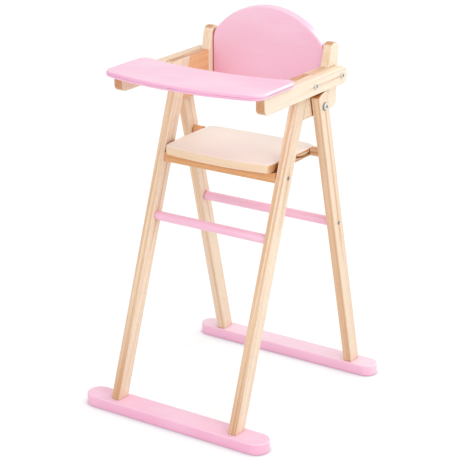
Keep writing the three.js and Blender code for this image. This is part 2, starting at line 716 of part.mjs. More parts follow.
// A pivot: bolt, washers on both faces of the rear leg, and a threaded insert in the panel.
function addPivot({ side, label }, rearLeg, panel) {
  const out = X_AXIS.clone().multiplyScalar(side);
  const at = (x) => new THREE.Vector3(side * x, pivotY, pivotZ);
  const { head, dome, shank, tipGap } = PIVOT_BOLT;
  const boltBore = shank + 2 * FIT_GAP;
  const headX = rearOuterX + PIVOT_WASHER.thickness + FIT_GAP;
  const length = headX - frontOuterX + insertLength - tipGap;
  const top = dome + dome / 2;
  const socket = rod(HEX_SOCKET_DIAMETER, 2 * RECESS_DEPTH, 0, HEX_SIDES).translate(0, 0, top);
  const bolt = domedScrew({ head, dome, shank, length, socket });
  const hole = rod(boltBore, 2 * length, 0, ROUND_SIDES);
  fit(`pivot_bolt_${label}`, bolt, hole, STEEL, at(headX), out, [rearLeg]);

  const outer = ring(PIVOT_WASHER.diameter, boltBore, PIVOT_WASHER.thickness);
  addPiece(chair, `pivot_washer_outer_${label}`, outer, STEEL).applyMatrix4(
    placement(at(rearOuterX + FIT_GAP), out),
  );
  const inner = ring(INNER_WASHER_DIAMETER, boltBore, INNER_WASHER_THICKNESS);
  addPiece(chair, `pivot_washer_inner_${label}`, inner, STEEL).applyMatrix4(
    placement(at(frontOuterX + FIT_GAP), out),
  );

  const insert = ring(INSERT_DIAMETER, boltBore, insertLength);
  const pocket = rod(INSERT_DIAMETER + 2 * FIT_GAP, 2 * (insertLength + FIT_GAP), 0, ROUND_SIDES);
  pocket.translate(0, 0, insertLength);
  fit(
    `pivot_insert_${label}`, insert, pocket, STEEL, at(frontOuterX - insertLength), out, [panel],
  );
}

// Flush screws through a leg into the end of a rail or rung.
function addEndScrew(name, side, faceX, y, z, leg, crossPiece) {
  const length = SIDE_STOCK + FIT_GAP + FLAT_SCREW.bite;
  fit(
    name,
    flatScrew(FLAT_SCREW, length),
    flatScrewHole(FLAT_SCREW, length),
    STEEL,
    new THREE.Vector3(side * faceX, y, z),
    X_AXIS.clone().multiplyScalar(side),
    [leg, crossPiece],
  );
}

// The front frame: everything that stands still while the chair folds.
const frontFoot = addFoot(
  "front_foot",
  frontOuterX + FRONT_FOOT_OVERHANG,
  FRONT_FOOT_DEPTH,
  frontFootY,
);
const tray = addTray();
const seat = addSeat();
const seatRail = addSeatRail();
const backrest = addBackrest();
const frontRungY = frontLegY(FRONT_RUNG_HEIGHT);
const frontRungHalf = frontFaceX + RUNG_TENON;
addRung("front_rung", frontRungHalf, frontRungY, FRONT_RUNG_HEIGHT);
const rungSocket = rod(
  RUNG_DIAMETER + 2 * FIT_GAP,
  2 * (frontRungHalf + FIT_GAP),
  0,
  RUNG_SIDES,
).applyMatrix4(placement(new THREE.Vector3(0, frontRungY, FRONT_RUNG_HEIGHT), X_AXIS));

// The rear frame: what turns forward about the pivots.
const rearFoot = addFoot(
  "rear_foot",
  rearOuterX + REAR_FOOT_OVERHANG,
  REAR_FOOT_DEPTH,
  rearFootY,
);
const rearRungY = rearLegY(REAR_RUNG_HEIGHT);
const rearRung = addRung("rear_rung", rearInnerX - FIT_GAP, rearRungY, REAR_RUNG_HEIGHT);

for (const place of SIDES) {
  const { side, label } = place;
  const frontLeg = addFrontLeg(place);
  const panel = addSidePanel(place);
  const post = addBackPost(place);
  const arm = addTrayArm(place);
  const rearLeg = addRearLeg(place);

  bore(frontLeg, [rungSocket]);
  addPivot(place, rearLeg, panel);
  addArmScrews(place, arm, frontLeg, post);
  addPeg(place, rearLeg, seat);
  addEndScrew(`rail_screw_${label}`, side, frontOuterX, railY, railZ, frontLeg, seatRail);
  addEndScrew(
    `rung_screw_${label}`, side, rearOuterX, rearRungY, REAR_RUNG_HEIGHT, rearLeg, rearRung,
  );

  const stockMiddle = side * (frontFaceX + SIDE_STOCK / 2);
  const frontAlong = new THREE.Vector3(0, Math.sin(FRONT_LEG_LEAN), Math.cos(FRONT_LEG_LEAN));
  fitDowel(
    `foot_dowel_front_${label}`,
    FOOT_DOWEL,
    new THREE.Vector3(stockMiddle, frontLegY(FOOT_HEIGHT), FOOT_HEIGHT),
    frontAlong,
    [frontLeg, frontFoot],
  );
  const rearAlong = new THREE.Vector3(0, -Math.sin(rearLegLean), Math.cos(rearLegLean));
  const rearStockMiddle = side * (rearInnerX + SIDE_STOCK / 2);
  fitDowel(
    `foot_dowel_rear_${label}`,
    FOOT_DOWEL,
    new THREE.Vector3(rearStockMiddle, rearLegY(FOOT_HEIGHT), FOOT_HEIGHT),
    rearAlong,
    [rearLeg, rearFoot],
  );

  const dowelZ = THREE.MathUtils.lerp(ARM_TOP, panelBottom, PANEL_DOWEL_SHARE);
  fitDowel(
    `panel_dowel_front_${label}`,
    PANEL_DOWEL,
    new THREE.Vector3(stockMiddle, panelFrontY(dowelZ), dowelZ),
    Y_AXIS,
    [frontLeg, panel],
  );
  fitDowel(
    `panel_dowel_rear_${label}`,
    PANEL_DOWEL,
    new THREE.Vector3(stockMiddle, postFrontY, dowelZ),
    Y_AXIS,
    [panel, post],
  );

  const backrestMiddleY = postFrontY + BACKREST_INSET + BACKREST_THICKNESS / 2;
  BACKREST_DOWEL_SHARES.forEach((share, i) => {
    const z = THREE.MathUtils.lerp(panelBottom, shoulderZ, share);
    fitDowel(
      `backrest_dowel_${i + 1}_${label}`,
      BACKREST_DOWEL,
      new THREE.Vector3(side * frontFaceX, backrestMiddleY, z),
      X_AXIS.clone().multiplyScalar(-side),
      [post, backrest],
    );
  });

  const armMiddle = armInnerX + ARM_STOCK / 2;
  const trayRearY = trayRearCentre - Math.sqrt(trayRadius ** 2 - armMiddle ** 2);
  TRAY_DOWEL_SHARES.forEach((share, i) => {
    const y = THREE.MathUtils.lerp(armFrontY, trayRearY, share);
    fitDowel(
      `tray_dowel_${i + 1}_${label}`,
      TRAY_DOWEL,
      new THREE.Vector3(side * armMiddle, y, ARM_TOP),
      Z_AXIS.clone().negate(),
      [arm, tray],
    );
  });

  const seatScrewLength = RAIL_HEIGHT + FIT_GAP + SEAT_SCREW_BITE;
  fit(
    `seat_screw_${label}`,
    flatScrew(FLAT_SCREW, seatScrewLength),
    flatScrewHole(FLAT_SCREW, seatScrewLength),
    STEEL,
    new THREE.Vector3(side * frontFaceX * SEAT_SCREW_SHARE, railY, railTop - RAIL_HEIGHT),
    Z_AXIS.clone().negate(),
    [seatRail, seat],
  );
}

export default chair;
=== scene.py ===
"""Doll high chair: the looks of a folding wooden frame with a pink tray, backrest, rungs and feet.

Metres, +Z up. X runs across the chair, -Y is its front, and the floor is at Z = 0.
"""

import json
import math
import random

import bmesh
import bpy
from mathutils import Matrix, Vector


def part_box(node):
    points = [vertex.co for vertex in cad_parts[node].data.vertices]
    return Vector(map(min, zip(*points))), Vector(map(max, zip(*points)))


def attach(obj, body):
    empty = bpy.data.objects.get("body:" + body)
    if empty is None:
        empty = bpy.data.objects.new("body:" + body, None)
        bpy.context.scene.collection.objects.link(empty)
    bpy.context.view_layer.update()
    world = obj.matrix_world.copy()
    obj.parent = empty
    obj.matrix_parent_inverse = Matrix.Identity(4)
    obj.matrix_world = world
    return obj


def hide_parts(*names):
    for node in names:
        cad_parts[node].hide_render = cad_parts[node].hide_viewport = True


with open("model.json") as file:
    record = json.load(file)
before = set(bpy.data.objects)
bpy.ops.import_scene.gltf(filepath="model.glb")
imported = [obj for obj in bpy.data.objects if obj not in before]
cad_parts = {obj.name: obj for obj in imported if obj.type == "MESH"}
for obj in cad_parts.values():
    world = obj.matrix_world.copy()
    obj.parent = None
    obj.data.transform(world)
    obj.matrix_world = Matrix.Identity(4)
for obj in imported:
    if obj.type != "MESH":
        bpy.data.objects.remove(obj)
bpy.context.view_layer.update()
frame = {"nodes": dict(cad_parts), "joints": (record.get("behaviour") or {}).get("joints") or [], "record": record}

MM = 0.001
X_AXIS = Vector((1, 0, 0))
Y_AXIS = Vector((0, 1, 0))
Z_AXIS = Vector((0, 0, 1))
LEVEL_AXES = (X_AXIS, Y_AXIS, Z_AXIS)
HALF_TURN = math.pi
QUARTER_TURN = math.pi / 2
FRONT_FRAME = "front_frame"
REAR_FRAME = "rear_frame"
SIDES = ((1, "right"), (-1, "left"))

# Camera, at the photograph's viewing angle
CAMERA_PLACE = Vector((1.06772, -1.64397, 0.94238))
CAMERA_TARGET = Vector((-0.01114, 0.00723, 0.22715))
CAMERA_LENS = 121.58
CAMERA_SENSOR = 36
CAMERA_NEAR = 0.1
CAMERA_FAR = 40

# Edges and fineness
EASED_EDGE = 1.4 * MM
CRISP_EDGE = 0.5 * MM
EDGE_BAND = 0.7 * MM
EDGE_STEPS = 5
SOFT_STEPS = 7
CORNER_STEP = math.radians(6)
FOOT_STEP = math.radians(5)
SHOULDER_STEP = math.radians(4)
CROWN_STEP = math.radians(2)
GROOVE_STEP = math.radians(2)
BOW_STEP = math.radians(1.5)
ROD_STEP = math.radians(15)
FLARE_STEPS = 12
DOME_STEPS = 10
ROUND_SIDES = 64
HEX_SIDES = 6
SHARP_ANGLE = math.radians(38)
NEARLY_STRAIGHT = 0.05
ON_AXIS = 1e-9

# Clearances, and the wood left under blind holes
SEAT_GAP = 0.1 * MM
CUT_OVERRUN = 1 * MM
PANEL_GAP = 0.12 * MM
PANEL_BORE_WALL = 2.4 * MM
BLIND_WALL = 3.5 * MM

# Front legs
LEG_LEAN = math.radians(19.53)
LEG_WIDTH = 20.3 * MM
LEG_NOSE_LENGTH = 19.4 * MM
LEG_NOSE_HEIGHT = 18.5 * MM
LEG_NOSE_RADIUS = 8 * MM
LEG_HEEL_RADIUS = 5 * MM

# Rear legs
REAR_LEG_WIDTH = 21 * MM
REAR_LEG_ADVANCE = 1.2 * MM
REAR_LEG_END_RADIUS = 18.6 * MM

# Posts, arms and backrest
POST_TOP_RADIUS = 8.2 * MM
POST_DEPTH = 21.9 * MM
POST_TOP_DEPTH = 17.8 * MM
POST_FLARE_DEPTH = 3.2 * MM
POST_FLARE_HEIGHT = 8 * MM
POST_HEEL_RADIUS = 9 * MM
ARM_NOSE_RADIUS = 8.5 * MM
ARM_TAIL_TOP_RADIUS = 10 * MM
ARM_TAIL_LOWER_RADIUS = 9 * MM
BACKREST_CROWN = 46 * MM
BACKREST_SHOULDER_RADIUS = 24 * MM
BACKREST_FOOT_RADIUS = 3 * MM
BACKREST_EDGE = 2.2 * MM

# Feet and tray
FOOT_EDGE = 1.9 * MM
TRAY_DEPTH = 90.8 * MM
TRAY_BOW = 18 * MM
TRAY_FRONT_RADIUS = 20 * MM
TRAY_REAR_RADIUS = 12 * MM
TRAY_EDGE = 3.6 * MM

# Seat
SEAT_TAPER = 3.2 * MM
SEAT_TAPER_SHARE = 0.445
SEAT_FRONT_BOW = 8 * MM
SEAT_REAR_BOW = 3.2 * MM
SEAT_FRONT_RADIUS = 9.5 * MM
SEAT_REAR_RADIUS = 15 * MM
SEAT_EDGE = 2.4 * MM
GROOVE_HALF = 1.5 * MM
GROOVE_DEPTH = 5.6 * MM
GROOVE_TURN = math.radians(34.09)
GROOVE_OVERRUN = 5 * MM
GROOVE_EDGE = 0.01 * MM
RAIL_END_EDGE = 0.2 * MM
RAIL_END_STEPS = 2

# Rungs, pegs and fasteners
ROD_RIM = 0.8 * MM
TIP_LENGTH = 0.6 * MM
ARM_SCREW_HEAD = 8 * MM
ARM_SCREW_SHANK = 4 * MM
ARM_SCREW_TAPER = 0.5 * MM
ARM_SCREW_HOLE = 4.2 * MM
ARM_SCREW_RIM = 0.7 * MM
ARM_SCREW_EASE = 0.15 * MM
ARM_HOLLOW_DEPTH = 0.45 * MM
BOLT_HEAD = 8.6 * MM
BOLT_SHANK = 5 * MM
BOLT_TAPER = 0.6 * MM
BOLT_RIM = 0.8 * MM
BOLT_HOLLOW_DEPTH = 0.6 * MM
WASHER_RIM = 0.18 * MM
FLAT_HEAD = 6.4 * MM
FLAT_SINK = 1.8 * MM
FLAT_RIM = 0.25 * MM
FLAT_DROP = 0.12 * MM
FLAT_TAPER = 0.4 * MM
FLAT_HOLE_DEPTH = 26 * MM
FLAT_HOLLOW_DEPTH = 0.3 * MM
FLAT_SHADE_SHARE = 0.55
SCREW_SHANK = 3.4 * MM
RECESS_WIDTH = 0.9 * MM
RECESS_SPAN = 3.8 * MM
RECESS_DEPTH = 1.2 * MM
RECESS_REACH = 2.3 * MM
RECESS_FLOOR_SHARE = 0.72
RECESS_TAPER_SHARE = 0.4
HEX_SOCKET = 3.4 * MM
HEX_DEPTH = 1.3 * MM

# Places worked out from the frame
leg_low, leg_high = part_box("front_leg_right")
panel_low, panel_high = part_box("side_panel_right")
post_low, post_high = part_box("back_post_right")
arm_low, arm_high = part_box("tray_arm_right")
rear_leg_low, rear_leg_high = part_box("rear_leg_right")
rear_foot_low, rear_foot_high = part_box("rear_foot")
backrest_low, backrest_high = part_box("backrest")
tray_low, tray_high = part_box("tray")
seat_low, seat_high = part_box("seat")
rail_low, rail_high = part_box("seat_rail")
pivot = Vector(frame["joints"][0]["pos_m"])
pivot_centre = Vector((0, pivot.y, pivot.z))

leg_half = LEG_WIDTH / 2 / math.cos(LEG_LEAN)
rear_end_y = (rear_foot_low.y + rear_foot_high.y) / 2 - REAR_LEG_ADVANCE
rear_lean = math.atan2(rear_end_y - pivot.y, pivot.z - rear_foot_high.z)


def leg_y(z):
    """Middle of the front leg at a height."""
    return leg_low.y + leg_half + (z - leg_low.z) * math.tan(LEG_LEAN)


def rear_leg_y(z):
    """Middle of the rear leg at a height."""
    return pivot.y + (pivot.z - z) * math.tan(rear_lean)


def middle(node):
    """Centre of a CAD node's box."""
    low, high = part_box(node)
    return (low + high) / 2


def face_spot(node, side, face_x):
    """Where the line across the chair through a CAD node's centre meets a face."""
    centre = middle(node)
    return Vector((side * face_x, centre.y, centre.z))


def span_out(node, side):
    """How far from the chair's middle a CAD node starts and ends, on its own side."""
    low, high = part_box(node)
    return (low.x, high.x) if side > 0 else (-high.x, -low.x)


# Camera
camera_data = bpy.data.cameras.new("camera")
camera_data.lens = CAMERA_LENS
camera_data.sensor_width = CAMERA_SENSOR
camera_data.clip_start = CAMERA_NEAR
camera_data.clip_end = CAMERA_FAR
camera = bpy.data.objects.new("camera", camera_data)
bpy.context.scene.collection.objects.link(camera)
camera.location = CAMERA_PLACE
camera.rotation_euler = (CAMERA_TARGET - CAMERA_PLACE).to_track_quat("-Z", "Y").to_euler()
bpy.context.scene.camera = camera


class Graph:
    """The node tree of a material or a world, built by short calls."""

    def __init__(self, owner):
        owner.use_nodes = True
        self.owner = owner
        self.tree = owner.node_tree
        self.tree.nodes.clear()

    def add(self, kind, inputs=None, **settings):
        node = self.tree.nodes.new(kind)
        for key, value in settings.items():
            setattr(node, key, value)
        for key, value in (inputs or {}).items():
            if isinstance(value, bpy.types.NodeSocket):
                self.tree.links.new(value, node.inputs[key])
            else:
                node.inputs[key].default_value = value
        return node

    def attribute(self, name):
        return self.add("ShaderNodeAttribute", attribute_name=name).outputs["Vector"]

    def parts(self, name):
        """An attribute's three numbers, as X, Y and Z."""
        return self.add("ShaderNodeSeparateXYZ", {"Vector": self.attribute(name)}).outputs

    def math(self, operation, a, b=0.0, clamp=False):
        node = self.add("ShaderNodeMath", {0: a, 1: b}, operation=operation, use_clamp=clamp)
        return node.outputs["Value"]

    def times(self, a, b):
        return self.math("MULTIPLY", a, b)

    def stretch(self, vector, scales):
        """Scales a vector along the grain and across it."""
        along, cross = scales
        inputs = {0: vector, 1: (along, cross, cross)}
        return self.add("ShaderNodeVectorMath", inputs, operation="MULTIPLY").outputs["Vector"]

    def noise(self, vector, cells, detail=2.0, roughness=0.5):
        inputs = {"Vector": self.stretch(vector, cells), "Scale": 1.0, "Detail": detail,
                  "Roughness": roughness}
        return self.add("ShaderNodeTexNoise", inputs).outputs["Fac"]

    def band(self, value, low, high, to_low=0.0, to_high=1.0):
        """Maps low..high to to_low..to_high, smoothly and clamped."""
        inputs = {"Value": value, "From Min": low, "From Max": high,
                  "To Min": to_low, "To Max": to_high}
        node = self.add("ShaderNodeMapRange", inputs, interpolation_type="SMOOTHSTEP")
        return node.outputs["Result"]

    def mix(self, factor, a, b, blend="MIX"):
        inputs = {0: factor, 6: a, 7: b}
        return self.add("ShaderNodeMix", inputs, data_type="RGBA", blend_type=blend).outputs[2]

    def tinted(self, colour, tint):
        return self.mix(1.0, colour, tint, "MULTIPLY")

    def bump(self, height, strength, distance, normal=None):
        inputs = {"Height": height, "Strength": strength, "Distance": distance}
        if normal is not None:
            inputs["Normal"] = normal
        return self.add("ShaderNodeBump", inputs).outputs["Normal"]

    def shaded(self, colour, reach, shade, open_share, shut_share, weight=None):
        """The colour with painted shade in seams and under neighbours, between two shares of open sky.

        A weight under 1 holds this back.
        """
        node = self.add("ShaderNodeAmbientOcclusion", {"Distance": reach}, samples=SHADE_SAMPLES)
        share = self.band(node.outputs["AO"], open_share, shut_share)
        if weight is not None:
            share = self.times(share, weight)
        return self.mix(share, colour, self.tinted(colour, shade))

    def surface(self, inputs):
        """Ends a material in a principled shader."""
        shader = self.add("ShaderNodeBsdfPrincipled", inputs)
        self.add("ShaderNodeOutputMaterial", {"Surface": shader.outputs["BSDF"]})
        return self.owner


def linear(red, green, blue):
    """Scene colour of a screen colour given in 0..255."""
    def channel(value):
        share = value / 255
        return share / 12.92 if share <= 0.04045 else ((share + 0.055) / 1.055) ** 2.4

    return (channel(red), channel(green), channel(blue), 1.0)


# How far painted shade reaches from seams and neighbours, and the tints of tone with painted shade, of painted
# light, of grain, of rubbed edges with a painted highlight, and of painted shade
SHADE_SAMPLES = 12
SEAM_SHADE_REACH = 9 * MM
SHADE_REACH = 32 * MM
PINK_REACH = 96 * MM
DEEP_WOOD_AND_SHADE = (0.9, 0.62, 0.38, 1.0)
PAINTED_LIGHT_WOOD = (1.0, 0.97, 0.88, 1.0)
LIGHT_GRAIN = (0.98, 0.9, 0.78, 1.0)
WORN_AND_HIGHLIT_WOOD = (0.97, 0.88, 0.76, 1.0)
WOOD_SEAM_SHADE = (0.5, 0.26, 0.09, 1.0)
WOOD_SHADE = (0.84, 0.65, 0.38, 1.0)
PINK_SHADE = (0.95, 0.6, 0.8, 1.0)
PINK_RIM_SHADE = (0.97, 0.72, 0.88, 1.0)

# Cells of each noise per metre, along and across the grain
STREAK_CELLS = (2.5, 270.0)
WIDE_CELLS = (2.5, 38.0)
FIBRE_CELLS = (70.0, 2600.0)
PORE_CELLS = (160.0, 3400.0)
FLECK_CELLS = (240.0, 1100.0)
CLOUD_CELLS = (14.0, 22.0)
COVERED_CELLS = (9.0, 320.0)
PEEL_CELLS = (620.0, 620.0)
SPECK_CELLS = (420.0, 420.0)
BRUSH_CELLS = (30.0, 1500.0)
MOTTLE_CELLS = (900.0, 900.0)
MARK_CELLS = (9000.0, 500.0)
SCRATCH_CELLS = (400.0, 7000.0)

# The yearly rings' scale, and its shares along and across the grain
RING_SCALE = 82.0
RING_STRETCH = (0.02, 1.0)

# Depth of the relief
FIBRE_RELIEF = 0.12 * MM
RING_RELIEF = 0.15 * MM
LACQUER_RELIEF = 0.16 * MM
PLATING_RELIEF = 0.04 * MM


def wood_material(name, broad, narrow, end, dark, roughness, coat):
    """Fine-grained pale wood: rings, streaks, fibres and short pores that run along each piece.

    Pieces from deeper wood or with painted shade are more orange, pieces with painted light are paler on their
    broad faces, and calm ones show less grain. Narrow faces and end grain are darker and more orange, partly as
    edge and end grain and partly as painted shade. Seams and corners get painted shade, and edges are rubbed
    lighter with a painted highlight.
    """
    graph = Graph(bpy.data.materials.new(name))
    grain = graph.attribute("grain")
    faces = graph.parts("faces")
    look = graph.parts("look")

    streaks = graph.noise(grain, STREAK_CELLS, detail=3.0, roughness=0.6)
    wide = graph.noise(grain, WIDE_CELLS, detail=1.0)
    fibres = graph.noise(grain, FIBRE_CELLS)
    pores = graph.noise(grain, PORE_CELLS, detail=0.0)
    flecks = graph.noise(grain, FLECK_CELLS, detail=0.0)
    rings = graph.add(
        "ShaderNodeTexWave",
        {"Vector": graph.stretch(grain, RING_STRETCH), "Scale": RING_SCALE, "Distortion": 3.2,
         "Detail": 2.0, "Detail Scale": 0.5, "Detail Roughness": 0.5},
        wave_type="RINGS", rings_direction="X", wave_profile="SAW",
    ).outputs["Fac"]

    # Narrow faces and end grain darker and more orange: partly edge and end grain, partly painted shade
    narrowness = graph.band(faces["Y"], 0.35, 0.9)
    endness = graph.band(faces["X"], 0.45, 0.9)
    calm = graph.mix(endness, graph.mix(narrowness, broad, narrow), end)
    late = graph.times(graph.band(rings, 0.35, 1.0), graph.band(wide, 0.3, 0.75, 0.25, 1.0))
    colour = graph.mix(graph.times(late, 0.3), calm, dark)
    contrast = graph.band(narrowness, 0.0, 1.0, 0.3, 1.0)
    tone = graph.times(graph.band(streaks, 0.42, 0.66), contrast)
    colour = graph.mix(graph.times(tone, 0.52), colour, dark)
    lights = graph.times(graph.band(streaks, 0.52, 0.34), contrast)
    colour = graph.mix(graph.times(lights, 0.55), colour, LIGHT_GRAIN, "SCREEN")
    colour = graph.mix(graph.band(fibres, 0.35, 0.8, 0.0, 0.16), colour, dark)
    colour = graph.mix(graph.band(pores, 0.66, 0.74, 0.0, 0.4), colour, dark)
    colour = graph.mix(graph.band(flecks, 0.7, 0.78, 0.0, 0.22), colour, dark)
    colour = graph.mix(graph.times(look["Z"], 0.85), colour, calm)
    # Deeper tone: partly the piece's own wood, partly painted shade on pieces that sit in shade
    colour = graph.mix(look["Y"], colour, graph.tinted(colour, DEEP_WOOD_AND_SHADE))
    # Painted light: a negative tone makes the broad faces paler, as if more brightly lit
    painted_light = graph.math("MULTIPLY", look["Y"], -1.0, clamp=True)
    painted_light_share = graph.times(painted_light, graph.band(faces["Z"], 0.6, 0.95))
    colour = graph.mix(painted_light_share, colour, PAINTED_LIGHT_WOOD)
    # Painted shade: deeper near neighbours and in corners, darker still in seams and narrow gaps, held back on
    # calm pieces such as the seat
    colour = graph.shaded(colour, SHADE_REACH, WOOD_SHADE, open_share=0.6, shut_share=0.2)
    seam_shade_weight = graph.band(look["Z"], 0.8, 1.0, 1.0, 0.25)
    colour = graph.shaded(colour, SEAM_SHADE_REACH, WOOD_SEAM_SHADE, open_share=0.55, shut_share=0.1,
                          weight=seam_shade_weight)
    # Edges rubbed a little lighter, partly a painted highlight
    worn_and_highlit = graph.times(look["X"], graph.band(streaks, 0.3, 0.6, 0.1, 0.3))
    colour = graph.mix(worn_and_highlit, colour, WORN_AND_HIGHLIT_WOOD)

    rough = graph.math("ADD", graph.band(fibres, 0.3, 0.7, roughness - 0.05, roughness + 0.07),
                       graph.band(pores, 0.66, 0.74, 0.0, 0.18))
    height = graph.math("SUBTRACT", graph.band(fibres, 0.2, 0.8, 0.0, 0.5),
                        graph.band(pores, 0.64, 0.74))
    normal = graph.bump(height, 0.35, FIBRE_RELIEF)
    normal = graph.bump(late, 0.12, RING_RELIEF, normal)
    return graph.surface({
        "Base Color": colour, "Roughness": rough, "Normal": normal,
        "Coat Weight": coat, "Coat Roughness": 0.22, "IOR": 1.5,
    })


def lacquer_material(name, base, deep, pale, undercoat):
    """Satin lacquer on wood: faint grain under it, orange peel, and edges rubbed a little lighter, partly as a
    painted highlight.

    Some pieces are deeper in tone, partly as painted shade, or paler as painted light, and some get painted shade
    on their rim faces.
    """
    graph = Graph(bpy.data.materials.new(name))
    grain = graph.attribute("grain")
    faces = graph.parts("faces")
    look = graph.parts("look")
    cloud = graph.noise(grain, CLOUD_CELLS)
    streaks = graph.noise(grain, COVERED_CELLS, detail=3.0, roughness=0.6)
    peel = graph.noise(grain, PEEL_CELLS, roughness=0.55)
    specks = graph.noise(grain, SPECK_CELLS, detail=0.0)
    brush = graph.noise(grain, BRUSH_CELLS, detail=1.0)

    colour = graph.mix(graph.band(cloud, 0.3, 0.7, 0.0, 0.6), base, deep)
    colour = graph.mix(graph.band(streaks, 0.35, 0.7, 0.0, 0.16), colour, pale)
    colour = graph.mix(graph.band(brush, 0.45, 0.75, 0.0, 0.1), colour, deep)
    colour = graph.mix(graph.band(specks, 0.74, 0.8, 0.0, 0.35), colour, undercoat)
    # Edges rubbed lighter, partly a painted highlight
    rub_and_highlight = graph.times(look["X"], graph.band(cloud, 0.35, 0.65, 0.15, 0.5))
    colour = graph.mix(rub_and_highlight, colour, pale)
    # Deeper tone, partly the piece's own and partly painted shade; paler with painted light where the tone is
    # negative
    colour = graph.mix(look["Y"], colour, deep)
    colour = graph.mix(graph.math("MULTIPLY", look["Y"], -1.0, clamp=True), colour, pale)
    # Painted shade on the rim faces of some lacquered pieces
    rim = graph.times(look["Z"], graph.band(faces["Y"], 0.3, 0.85))
    colour = graph.mix(rim, colour, graph.tinted(colour, PINK_RIM_SHADE))
    # Painted shade where neighbours and corners are near
    colour = graph.shaded(colour, PINK_REACH, PINK_SHADE, open_share=0.68, shut_share=0.2)

    rough = graph.band(peel, 0.25, 0.75, 0.27, 0.38)
    height = graph.math("ADD", graph.times(peel, 0.7), graph.times(streaks, 0.5))
    normal = graph.bump(height, 0.22, LACQUER_RELIEF)
    return graph.surface({
        "Base Color": colour, "Roughness": rough, "Normal": normal,
        "Coat Weight": 0.35, "Coat Roughness": 0.16, "IOR": 1.5,
    })


def steel_material(name, base, dull, painted_shade, roughness):
    """Zinc-plated steel: a mottled plating with turning marks, fine scratches and painted shade in hollows."""
    graph = Graph(bpy.data.materials.new(name))
    grain = graph.attribute("grain")
    look = graph.parts("look")
    mottle = graph.noise(grain, MOTTLE_CELLS, detail=3.0, roughness=0.6)
    marks = graph.noise(grain, MARK_CELLS, detail=1.0)
    scratches = graph.noise(grain, SCRATCH_CELLS, detail=0.0)

    colour = graph.mix(graph.band(mottle, 0.3, 0.7), base, dull)
    colour = graph.mix(graph.band(scratches, 0.68, 0.76, 0.0, 0.4), colour, base)
    # Painted shade in recesses, and over whole heads and washers that sit in shade
    colour = graph.mix(graph.times(look["Z"], 0.85), colour, painted_shade)
    rough = graph.math("ADD", graph.band(mottle, 0.3, 0.7, roughness - 0.06, roughness + 0.08),
                       graph.band(scratches, 0.68, 0.76, 0.0, 0.14))
    height = graph.math("ADD", graph.times(marks, 0.6), graph.times(mottle, 0.4))
    normal = graph.bump(height, 0.25, PLATING_RELIEF)
    return graph.surface({
        "Base Color": colour, "Roughness": rough, "Normal": normal, "Metallic": 1.0,
    })


FINISHES = {
    "pale_wood": wood_material(
        "pale_wood", broad=linear(250, 234, 211), narrow=linear(246, 217, 182),
        end=linear(206, 149, 100), dark=linear(205, 150, 98), roughness=0.42, coat=0.3,
    ),
    "dowel_wood": wood_material(
        "bare_dowel_wood", broad=linear(232, 206, 170), narrow=linear(228, 198, 160),
        end=linear(205, 168, 124), dark=linear(186, 140, 96), roughness=0.62, coat=0.0,
    ),
    "pink_lacquer": lacquer_material(
        "pink_lacquer", base=linear(253, 207, 227), deep=linear(250, 187, 215),
        pale=linear(254, 222, 235), undercoat=linear(238, 170, 200),
    ),
    "steel": steel_material(
        "zinc_steel", base=linear(226, 225, 220), dull=linear(196, 195, 190),
        painted_shade=linear(46, 42, 36), roughness=0.26,
    ),
}


def arc(centre_u, centre_v, radius, start, end, step=CORNER_STEP):
    """Points along an arc, both ends included."""
    count = max(1, math.ceil(abs(end - start) / step))
    angles = [start + (end - start) * i / count for i in range(count + 1)]
    return [(centre_u + radius * math.cos(a), centre_v + radius * math.sin(a)) for a in angles]


def rounded_outline(corners):
    """A polygon whose corners, given as (u, v) or (u, v, radius), are rounded by arcs."""
    points = []
    for i, (u, v, *rest) in enumerate(corners):
        radius = rest[0] if rest else 0
        corner = Vector((u, v))
        if radius == 0:
            points.append((u, v))
            continue
        before = Vector(corners[i - 1][:2]) - corner
        after = Vector(corners[(i + 1) % len(corners)][:2]) - corner
        before.normalize()
        after.normalize()
        half = math.acos(max(-1.0, min(1.0, before.dot(after)))) / 2
        centre = corner + (before + after).normalized() * (radius / math.sin(half))
        tangent = corner + before * (radius / math.tan(half)) - centre
        start = math.atan2(tangent.y, tangent.x)
        turn = (HALF_TURN - 2 * half) * (1 if before.cross(after) < 0 else -1)
        points.extend(arc(centre.x, centre.y, radius, start, start + turn))
    return points


def inset_points(points, flush, amount, extra):
    """The outline moved inwards by an amount, but only by the extra along its flush edges."""
    count = len(points)
    normals = []
    for i, point in enumerate(points):
        edge = Vector(points[(i + 1) % count]) - Vector(point)
        normals.append(Vector((-edge.y, edge.x)).normalized())
    moved = []
    for i, point in enumerate(points):
        first, second = normals[i - 1], normals[i]
        first_move = extra + (0 if (i - 1) % count in flush else amount)
        second_move = extra + (0 if i in flush else amount)
        cross = first.cross(second)
        if abs(cross) < NEARLY_STRAIGHT:
            offset = (first + second).normalized() * (first_move + second_move) / 2
        else:
            offset = Vector((
                (first_move * second.y - second_move * first.y) / cross,
                (second_move * first.x - first_move * second.x) / cross,
            ))
        moved.append(Vector(point) + offset)
    return moved


def new_object(name, mesh_data):
    """A Blender object for a finished bmesh, with its faces pointing out."""
    bmesh.ops.recalc_face_normals(mesh_data, faces=mesh_data.faces)
    mesh = bpy.data.meshes.new(name)
    mesh_data.to_mesh(mesh)
    mesh_data.free()
    piece = bpy.data.objects.new(name, mesh)
    bpy.context.scene.collection.objects.link(piece)
    return piece


